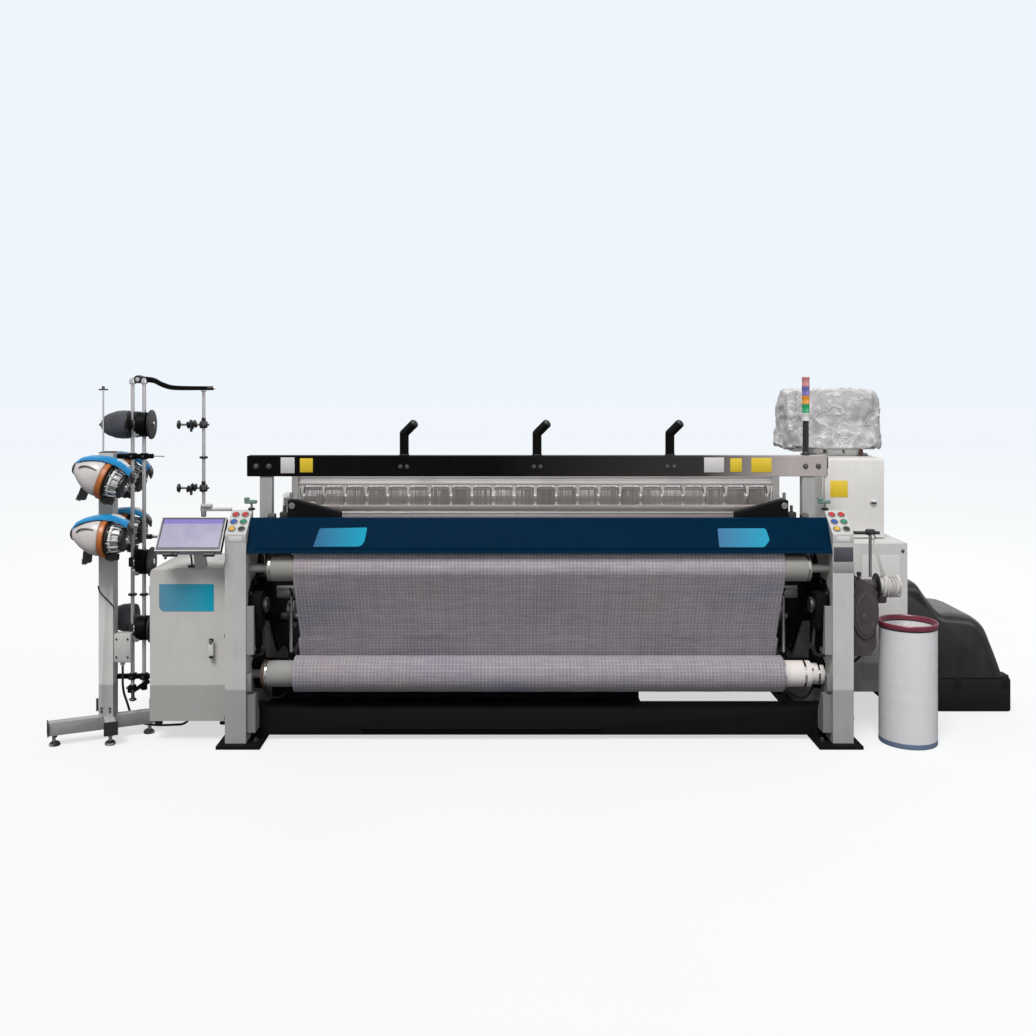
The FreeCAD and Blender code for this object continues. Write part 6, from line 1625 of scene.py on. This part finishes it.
# ---- right hand side --------------------------------------------------------
def make_drive_side():
    low, high = span("drive_housing")
    softened("drive_housing", "loom", drive_paint, 12.0)
    seams = Shape(drive_paint, black_rubber, dark_steel, dull_black)
    seams.box((low.x + 150, high.x - 40), (low.y - 3, low.y), (low.z + 60, high.z - 60), 2.0)
    for k in range(10):
        z = low.z + 120 + k * 22
        seams.box((low.x + 20, high.x - 20), (high.y - 1, high.y + 1.8), (z, z + 8), 2.0)
        seams.box((high.x - 1, high.x + 1.8), (low.y + 220, low.y + 480), (z + 200, z + 208), 2.0)
    for x, y in ((low.x + 30, low.y + 60), (high.x - 60, low.y + 60), (high.x - 60, high.y - 60),
            (low.x + 30, high.y - 60)):
        seams.turn(((0, 20), (5, 24), (12, 18)), (x, y, low.z - 12), TO_TOP, 1)
    seams.done("drive_panels", "loom", "cabinet_grey")
    points = [(x, low.y, z) for x in (low.x + 60, high.x - 24) for z in (low.z + 40, high.z - 40)]
    bolts("drive_panel_screws", "loom", points, TO_FRONT, 6.0, 3.5)
    softened("control_box", "loom", box_paint, 5.0)
    low, high = span("control_box_door")
    door = Shape(box_paint, yellow_plate, bright_steel, black_rubber)
    door.box((low.x, high.x), (low.y, high.y), (low.z, high.z), 4.0)
    door.box((low.x + 12, high.x - 12), (high.y - 1, high.y + 1.5), (low.z + 12, high.z - 12), 0.8, 3)
    door.box((1474, 1562), (low.y - 1.2, low.y), (1088, 1172), 0.5, 1)
    lock = Vector((1690, low.y, 1060))
    door.turn(((0, 17), (2, 18), (5, 16), (6, 10)), lock, TO_FRONT, 2, 28)
    door.box((lock.x - 13, lock.x + 13), (lock.y - 10, lock.y - 5), (lock.z - 4, lock.z + 4), 1.5, 3)
    for z in (low.z + 60, high.z - 60):
        door.rod((low.x + 3, low.y - 2, z - 24), (low.x + 3, low.y - 2, z + 24), 4.5, 2, 12)
    door.done("control_box_lid", "control_box_door", "box_white", ("control_box_door",))
    # signal tower
    low, high = span("signal_tower")
    x, y = (low.x + high.x) / 2, (low.y + high.y) / 2
    tower = Shape(black_plastic, white_plastic, tower_green, tower_orange, tower_blue, tower_red)
    base = low.z
    tower.turn(((0, 17.5), (6, 19), (14, 17), (18, 14.5), (167, 14.5)), (x, y, base), TO_TOP)
    for ink, (z0, z1) in zip((1, 2, 3, 4, 5), ((167, 206), (206, 249), (249, 290), (290, 334), (334, 381))):
        tower.turn(((z0, 17.2), (z0 + 1.5, 18.8), (z0 + 9, 18.8), (z0 + 10.5, 18.2), (z1 - 12, 18.2),
            (z1 - 10, 18.8), (z1 - 1.5, 18.8), (z1, 17.2)), (x, y, base), TO_TOP, ink, 32)
    tower.done("signal_lamps", "loom", "tower_plastic", ("signal_tower",))


def make_wrapped_unit():
    low, high = span("wrapped_unit")
    unit = Shape(unit_paint, white_plastic, dark_steel, brown_ring)
    unit.box((low.x + 130, high.x - 50), (low.y + 20, high.y - 20), (low.z, low.z + 14), 4.0)
    unit.box((low.x + 10, high.x - 20), (low.y + 50, high.y - 30), (low.z + 90, high.z - 20), 26.0)
    for x0, x1, z0, z1 in ((low.x + 6, low.x + 86, 22, 130), (low.x + 112, low.x + 168, 14, 120),
            (low.x + 186, low.x + 268, 10, 110), (low.x + 276, low.x + 356, 10, 118),
            (low.x + 376, low.x + 440, 34, 126)):
        unit.box((x0, x1), (low.y + 14, low.y + 110), (low.z + z0, low.z + z1), 9.0, 1)
    for x in (low.x + 52, low.x + 140, low.x + 226, low.x + 316):
        unit.turn(((0, 26), (14, 30), (80, 30), (92, 20)), (x, low.y + 60, low.z + 120), TO_TOP, 1, 24)
    unit.rod((high.x - 90, low.y + 6, low.z + 2), (high.x - 90, low.y + 6, low.z + 120), 9, 3)
    unit.turn(((0, 12), (10, 17), (30, 17), (40, 10)), (high.x - 90, low.y + 6, low.z + 96), TO_TOP, 3, 18)
    unit.box((high.x - 96, high.x - 60), (low.y - 2, low.y + 10), (low.z + 2, low.z + 12), 2.0, 2)
    unit.done("unit_under_film", "loom", "unit_white", ("wrapped_unit",))


def film_finish():
    """Clear film: see-through between its creases; creases and cloudy patches are painted highlights, near
    white and less see-through.
    """
    material, t, surface = shader("crumpled_film", Roughness=0.16, IOR=1.45, Coat_Weight=0.3,
        Coat_Roughness=0.08)
    place = t.add("ShaderNodeTexCoord").outputs["Object"]
    warp = t.add("ShaderNodeTexNoise", {"Vector": place, "Scale": 9.0, "Detail": 3.0})
    bent = t.add("ShaderNodeVectorMath", {0: place, 1: t.scaled(warp.outputs["Color"], (0.12, 0.12, 0.12))},
        operation="ADD")
    folds = t.add("ShaderNodeTexVoronoi", {"Vector": bent.outputs[0], "Scale": 11.0},
        feature="DISTANCE_TO_EDGE")
    crease = t.ramp(folds.outputs["Distance"], 0.05, 0.0)
    cloud = t.add("ShaderNodeTexNoise", {"Vector": bent.outputs[0], "Scale": 16.0, "Detail": 5.0,
        "Roughness": 0.7})
    highlight_patches = t.ramp(cloud.outputs[0], 0.57, 0.68)
    grey = t.mixed(t.ramp(cloud.outputs[0], 0.35, 0.6), (0.46, 0.45, 0.46, 1), (0.74, 0.73, 0.74, 1))
    # Creases and cloudy patches are mixed to near white: painted highlights, also made less see-through.
    film_highlight = t.sum("MINIMUM", t.sum("ADD", t.sum("MULTIPLY", crease, 0.55), highlight_patches), 1.0)
    t.feed(surface.inputs["Base Color"], t.mixed(film_highlight, grey, (0.92, 0.92, 0.94, 1)))
    t.feed(surface.inputs["Alpha"], t.sum("ADD", t.sum("MULTIPLY", film_highlight, 0.2), 0.72))
    t.feed(surface.inputs["Normal"], t.add("ShaderNodeBump", {"Strength": 0.5, "Distance": 0.006,
        "Height": t.sum("ADD", cloud.outputs[0], crease)}))
    return material


def make_film():
    """A loose bag of film over the unit: crumpled rings from the top centre down to the hem."""
    low, high = span("plastic_film")
    centre = (low + high) / 2
    half_x, half_y = (high.x - low.x) / 2 - 5, (high.y - low.y) / 2 - 5
    around, levels = 132, 40
    verts, faces = [], []
    for i in range(levels + 1):
        run = i / levels
        if run < 0.3:
            share = run / 0.3
            spread, drop = share ** 0.9 * 0.86, 6 * share ** 3
        else:
            share = (run - 0.3) / 0.7
            bend = min(1.0, share / 0.22)
            spread = 0.86 + 0.10 * math.sin(bend * math.pi / 2) + 0.04 * share
            drop = 6 + 34 * bend ** 2 + (high.z - low.z - 56) * share ** 1.05
        for k in range(around):
            a = k * math.tau / around
            c, s = math.cos(a), math.sin(a)
            power = 0.42
            x = math.copysign(abs(c) ** power, c) * half_x * spread
            y = math.copysign(abs(s) ** power, s) * half_y * spread
            z = high.z - 8 - drop
            soft = Vector((x, y, z)) / 62
            crumple = noise.fractal(soft, 0.8, 2.1, 4) * 9 + noise.noise(soft * 0.45) * 12
            fold = abs(noise.noise(Vector((a * 2.1, 0.3, run * 1.3)))) * 26 * min(1.0, run * 2)
            pull = (crumple - fold) * min(1.0, run * 3 + 0.25)
            reach = math.hypot(x, y) or 1.0
            x += x / reach * min(pull, 4)
            y += y / reach * min(pull, 4)
            if run < 0.32:
                z += min(6.0, noise.fractal(soft * 1.1, 0.8, 2.1, 4) * 11 - 3)
            if i == levels:
                z += 14 * noise.noise(Vector((c * 2.4, s * 2.4, 0.7))) + 34
            elif run > 0.8:
                z += 14 * noise.noise(Vector((c * 2.4, s * 2.4, 0.7))) * (run - 0.8) / 0.2
            verts.append(((centre.x + x) * MM, (centre.y + y) * MM, max(low.z + 1, z) * MM))
    for i in range(levels):
        for k in range(around):
            n = (k + 1) % around
            faces.append((i * around + k, (i + 1) * around + k, (i + 1) * around + n, i * around + n))
    mesh = bpy.data.meshes.new("film")
    mesh.from_pydata(verts, [], faces)
    bm = bmesh.new()
    bm.from_mesh(mesh)
    bmesh.ops.remove_doubles(bm, verts=bm.verts, dist=0.0001)
    bmesh.ops.recalc_face_normals(bm, faces=bm.faces)
    bm.to_mesh(mesh)
    area = sum(f.calc_area() for f in bm.faces)
    bm.free()
    mesh.materials.append(film_finish())
    mesh.shade_smooth()
    film = placed(mesh, "crumpled_film", "loom", ("plastic_film",))
    wall = film.modifiers.new("thickness", "SOLIDIFY")
    wall.thickness = 0.4 * MM
    wall.offset = -1.0


def make_winder():
    low, high = span("winder_housing")
    case = Shape(dark_casing, black_plastic, bare_steel, dark_steel, white_yarn)
    x0, x1, y0, y1 = low.x, low.x + 118, low.y, high.y
    case.plate(((x0, 420), (x0 + 20, 405), (x1 - 24, 405), (x1, 450), (x1, 700), (x1 - 22, 730),
        (x0 + 46, 760), (x0 + 8, 700)), "y", y0 + 14, y1 - 4, 9.0)
    middle_x, middle_z = x0 + 66, 612

    def oval(rx, rz, shift=0):
        return [(middle_x + rx * math.cos(a),
            middle_z + shift + rz * math.sin(a) * (1.12 if math.sin(a) < 0 else 0.95)) for a in
            (k * math.tau / 36 for k in range(36))]

    case.plate(oval(60, 112), "y", y0 + 4, y0 + 20, 5.0)
    case.plate(oval(48, 96), "y", y0 + 1, y0 + 8, 3.0, 3)
    case.plate(oval(36, 78), "y", y0 + 0.5, y0 + 6, 4.0)
    case.turn(((0, 20), (4, 22), (9, 18)), (middle_x, y0 + 8, middle_z - 30), TO_FRONT, 3)
    for x, top in ((x0 + 14, 786), (x0 + 46, 790)):
        case.rod((x, y0 + 40, 690), (x, y0 + 40, top - 8), 8, 3)
        case.turn(((0, 9), (4, 11), (12, 11), (16, 7)), (x, y0 + 40, top - 18), TO_TOP, 1)
    case.hose(((x0 + 12, y0 + 30, 700), (x0 + 2, y0 + 24, 660), (x0 + 10, y0 + 26, 620)), 5, 1)
    case.hose(((x0 + 70, y0 + 40, 420), (x0 + 40, y0 + 50, 380), (x0 + 8, y0 + 60, 360)), 7, 1)
    # guide rod, cross arm, its eye and the spool's shaft housing
    case.rod((1545, -655, 760), (1545, -655, 970), 7, 2)
    case.rod((x0 + 3, -655, 965), (1588, -655, 965), 8, 1)
    case.box((1524, 1566), (-670, -640), (954, 982), 7.0, 1)
    case.ring(((-4, 9), (-4, 14), (4, 14), (4, 9)), (1550, -674, 948), (0, 1, 0), 2, 20)
    case.box((x0 + 70, x1 + 8), (-690, -620), (690, 745), 12.0, 0)
    for k in range(4):
        side = 4 * k - 6
        case.hose(((1550 + side / 3, -676, 948), (1568 + side, -677, 880), (1590 + side, -675, 800),
            (1602 + side * 2, -668, 768)), 2.0, 4, 6)
    case.turn(((0, 30), (5, 34), (10, 30)), (x1 + 2, -655, 716), TO_RIGHT, 0)
    case.box((x1 - 30, x1 + 60), (-682, -628), (640, 700), 10.0, 0)
    case.done("winder_case", "loom", "dark_casing", ("winder_housing",))
    low, high = span("winder_spool")
    centre = (low + high) / 2
    spool = Shape(black_plastic, white_yarn, dark_steel)
    spool.ring(((1570, 8), (1570, 58), (1572, 61), (1576, 61), (1578, 58), (1578, 8)),
        (0, centre.y, centre.z), TO_RIGHT, 0, 44)
    profile = [(1579, 10)]
    for k in range(6):
        x = 1581 + k * 17
        swell = (40, 50, 48, 46, 44, 36)[k]
        profile += [(x, swell - 9), (x + 4, swell - 1), (x + 8, swell), (x + 13, swell - 3)]
    profile += [(1684, 30), (1686, 10)]
    spool.ring(profile, (0, centre.y, centre.z), TO_RIGHT, 1, 44)
    spool.turn(((low.x, 7.9), (high.x, 7.9)), (0, centre.y, centre.z), TO_RIGHT, 2, 20)
    for k in range(9):
        a = k * 0.7
        radius = 49
        points = []
        for i in range(25):
            b = a + i * math.tau / 24
            points.append((1600 + k * 9.5 + 6 * math.sin(b * 1.0 + k), centre.y + radius * math.cos(b),
                centre.z + radius * math.sin(b)))
        spool.add(pipe(points, 3.2, 6), 0, 1)
    spool.done("selvage_spool", "winder_spool", "black_plastic", ("winder_spool",))


def make_can():
    low, high = span("waste_can")
    centre = (low + high) / 2
    base = (centre.x, centre.y, 0)
    radius, rim = 130.0, 133.5
    can = Shape(can_wall, can_rim, black_plastic, can_foot)
    wall = [(532, radius - 5), (532, radius - 0.6)]
    wall += [(532 - k * 25, radius - 0.6 + 0.35 * math.sin(k * 2.1)) for k in range(1, 21)]
    wall += [(22, radius - 0.6), (14, radius - 1.5)]
    can.ring([(14, 6), (17, 6), (17, radius - 4)] + wall, base, TO_TOP, 0, 64)
    can.ring(((0, 4), (0, radius - 2), (3, radius), (22, radius), (24, radius - 0.4), (24, radius - 3),
        (14, radius - 3), (14, 4)), base, TO_TOP, 3, 64)
    can.ring(((532, radius - 5), (532, radius + 1), (537, radius + 2), (536, rim - 1), (538, rim - 1),
        (538, radius - 5)), base, TO_TOP, 2, 64)
    can.ring(((538, radius - 6), (538, rim - 1), (541, rim), (556, rim), (560, rim - 3), (560, radius - 3),
        (556, radius - 6)), base, TO_TOP, 1, 64)
    can.turn(((15, 20), (16, 20)), base, TO_TOP, 0)
    can.done("waste_can_shell", "loom", "can_white", ("waste_can",))
    rings = []
    inside = radius - 6
    top = span("waste_fluff")[1].z
    for share, lift in ((0.999, -90), (0.999, -20), (0.97, 0), (0.86, 1), (0.72, 1), (0.58, 1), (0.44, 1),
            (0.30, 1), (0.16, 1), (0.03, 1)):
        ring = []
        for k in range(56):
            a = k * math.tau / 56
            x, y = math.cos(a) * inside * share, math.sin(a) * inside * share
            rough = noise.fractal(Vector((x, y, 0)) / 26, 0.7, 2.0, 4)
            z = top + (lift if lift < 0 else 22 * (1 - share ** 2) + rough * 18 - 11)
            ring.append(Vector((base[0] + x, base[1] + y, z)))
        rings.append(ring)
    fluff = Shape(fluff_cotton)
    fluff.add(loft(rings))
    random.seed(5)
    for k in range(46):
        a, r = random.uniform(0, math.tau), random.uniform(0.1, 0.85) * inside
        x, y, z = base[0] + r * math.cos(a), base[1] + r * math.sin(a), top - 11 + 22 * (1 - (r / inside) **
            2)
        b = random.uniform(0, math.tau)
        long = random.uniform(10, 24)
        fluff.hose(((x, y, z - 6), (x + long * 0.4 * math.cos(b), y + long * 0.4 * math.sin(b), z + 9),
            (x + long * math.cos(b), y + long * math.sin(b), z + random.uniform(-2, 8)),
            (x + long * 1.4 * math.cos(b + 0.6), y + long * 1.4 * math.sin(b + 0.6), z - 4)), 1.6, 0, 5)
    fluff.done("selvage_waste", "loom", "cotton_fluff", ("waste_fluff",))


def make_hood():
    low, high = span("motor_hood")
    left = low.x
    hood = Shape(hood_gloss, hood_matte, dark_steel)
    crest = smooth_path([(left, 0, 640), (left + 60, 0, 654), (left + 114, 0, 646), (left + 170, 0, 572),
        (left + 240, 0, 500), (left + 320, 0, 488), (left + 403, 0, 474), (left + 460, 0, 425),
        (left + 500, 0, 335), (left + 535, 0, 245), (left + 558, 0, 178)], 5)
    stations = []
    depth = high.y - low.y
    for y, inset in ((0, 40), (6, 24), (18, 11), (40, 3), (90, 0), (depth - 90, 0), (depth - 40, 3),
            (depth - 18, 11), (depth - 6, 24), (depth, 40)):
        stations.append((low.y + y, inset))
    rings = []
    for y, inset in stations:
        ring = [Vector((left, y, 165)), Vector((left, y, 400))]
        for p in crest:
            ring.append(Vector((max(left, p.x - inset * max(0.0, (p.x - left - 90) / 470)), y,
                max(174, p.z - inset))))
        rings.append(ring)
    hood.add(loft(rings))
    hood.box((left, high.x), (low.y, high.y), (0, 172), 14.0, 1)
    hood.box((left + 10, high.x - 26), (low.y - 0.5, high.y - 4), (166, 180), 5.0, 1)
    hood.box((high.x - 60, high.x - 4), (low.y + 20, low.y + 90), (164, 182), 6.0, 1)
    for x in (left + 60, left + 300, left + 540):
        hood.box((x, x + 34), (low.y - 1.5, low.y + 6), (118, 186), 3.0, 1)
    for k in range(9):
        z = 40 + k * 12
        hood.box((high.x - 3, high.x + 0.5), (low.y + 60, high.y - 60), (z, z + 5), 1.5, 1)
    hood.done("fan_hood", "loom", "hood_plastic", ("motor_hood",))


make_drive_side()
make_wrapped_unit()
make_film()
make_winder()
make_can()
make_hood()


# ---- back of the loom -------------------------------------------------------
def make_back():
    low, high = span("warp_beam")
    centre = (low + high) / 2
    beam = Shape(alloy, dark_steel, bare_steel)
    dress(alloy, "warp_beam")
    for side in (-1, 1):
        x = side * 1184.5
        beam.turn(((0, 352), (4, 350), (4, 300), (1, 292), (1, 110), (6, 104)), (x, centre.y, centre.z),
            (side, 0, 0), 0, 72)
        for k in range(8):
            a = k * math.tau / 8
            p = Vector((x + side * 2, centre.y + 200 * math.cos(a), centre.z + 200 * math.sin(a)))
            beam.rod(p, p + Vector((side * 5, 0, 0)), 42, 1, 24)
        for k in range(12):
            a = k * math.tau / 12
            p = Vector((x + side * 6, centre.y + 90 * math.cos(a), centre.z + 90 * math.sin(a)))
            beam.rod(p, p + Vector((side * 6, 0, 0)), 8, 2, 6)
    beam.done("warp_beam_flange_faces", "warp_beam", "alloy")
    wound_low, wound_high = span("warp_winding")
    radius = (wound_high.z - wound_low.z) / 2
    yarns = Shape(wound_warp)
    long = wound_high.x - wound_low.x
    profile = [(0, 85.4), (0, radius - 3), (2, radius)]
    profile += [(long * k / 60, radius - 0.8 + 0.8 * math.sin(k * 2.3)) for k in range(1, 60)]
    profile += [(long - 2, radius), (long, radius - 3), (long, 85.4)]
    yarns.ring(profile, (wound_low.x, centre.y, centre.z), TO_RIGHT, 0, 72)
    yarns.done("warp_on_beam", "warp_beam", "warp_yarn", ("warp_winding",))
    low, high = span("drop_wire_bank")
    wires = []
    count = 300
    for row in range(4):
        y = low.y + 36 + row * 27
        for k in range(count):
            wires.append((-1180 + k * 2360 / (count - 1) + row, y, 984))
    grown(strips, points_mesh("drop_wires", wires), "drop_wires", "loom", "bare_steel", Width=0.5 * MM,
        Thickness=10 * MM, Height=96 * MM, Lean=0.06, Seed=9, Finish=bright_steel)
    dress(bare_steel, "drop_wire_bank")


make_back()
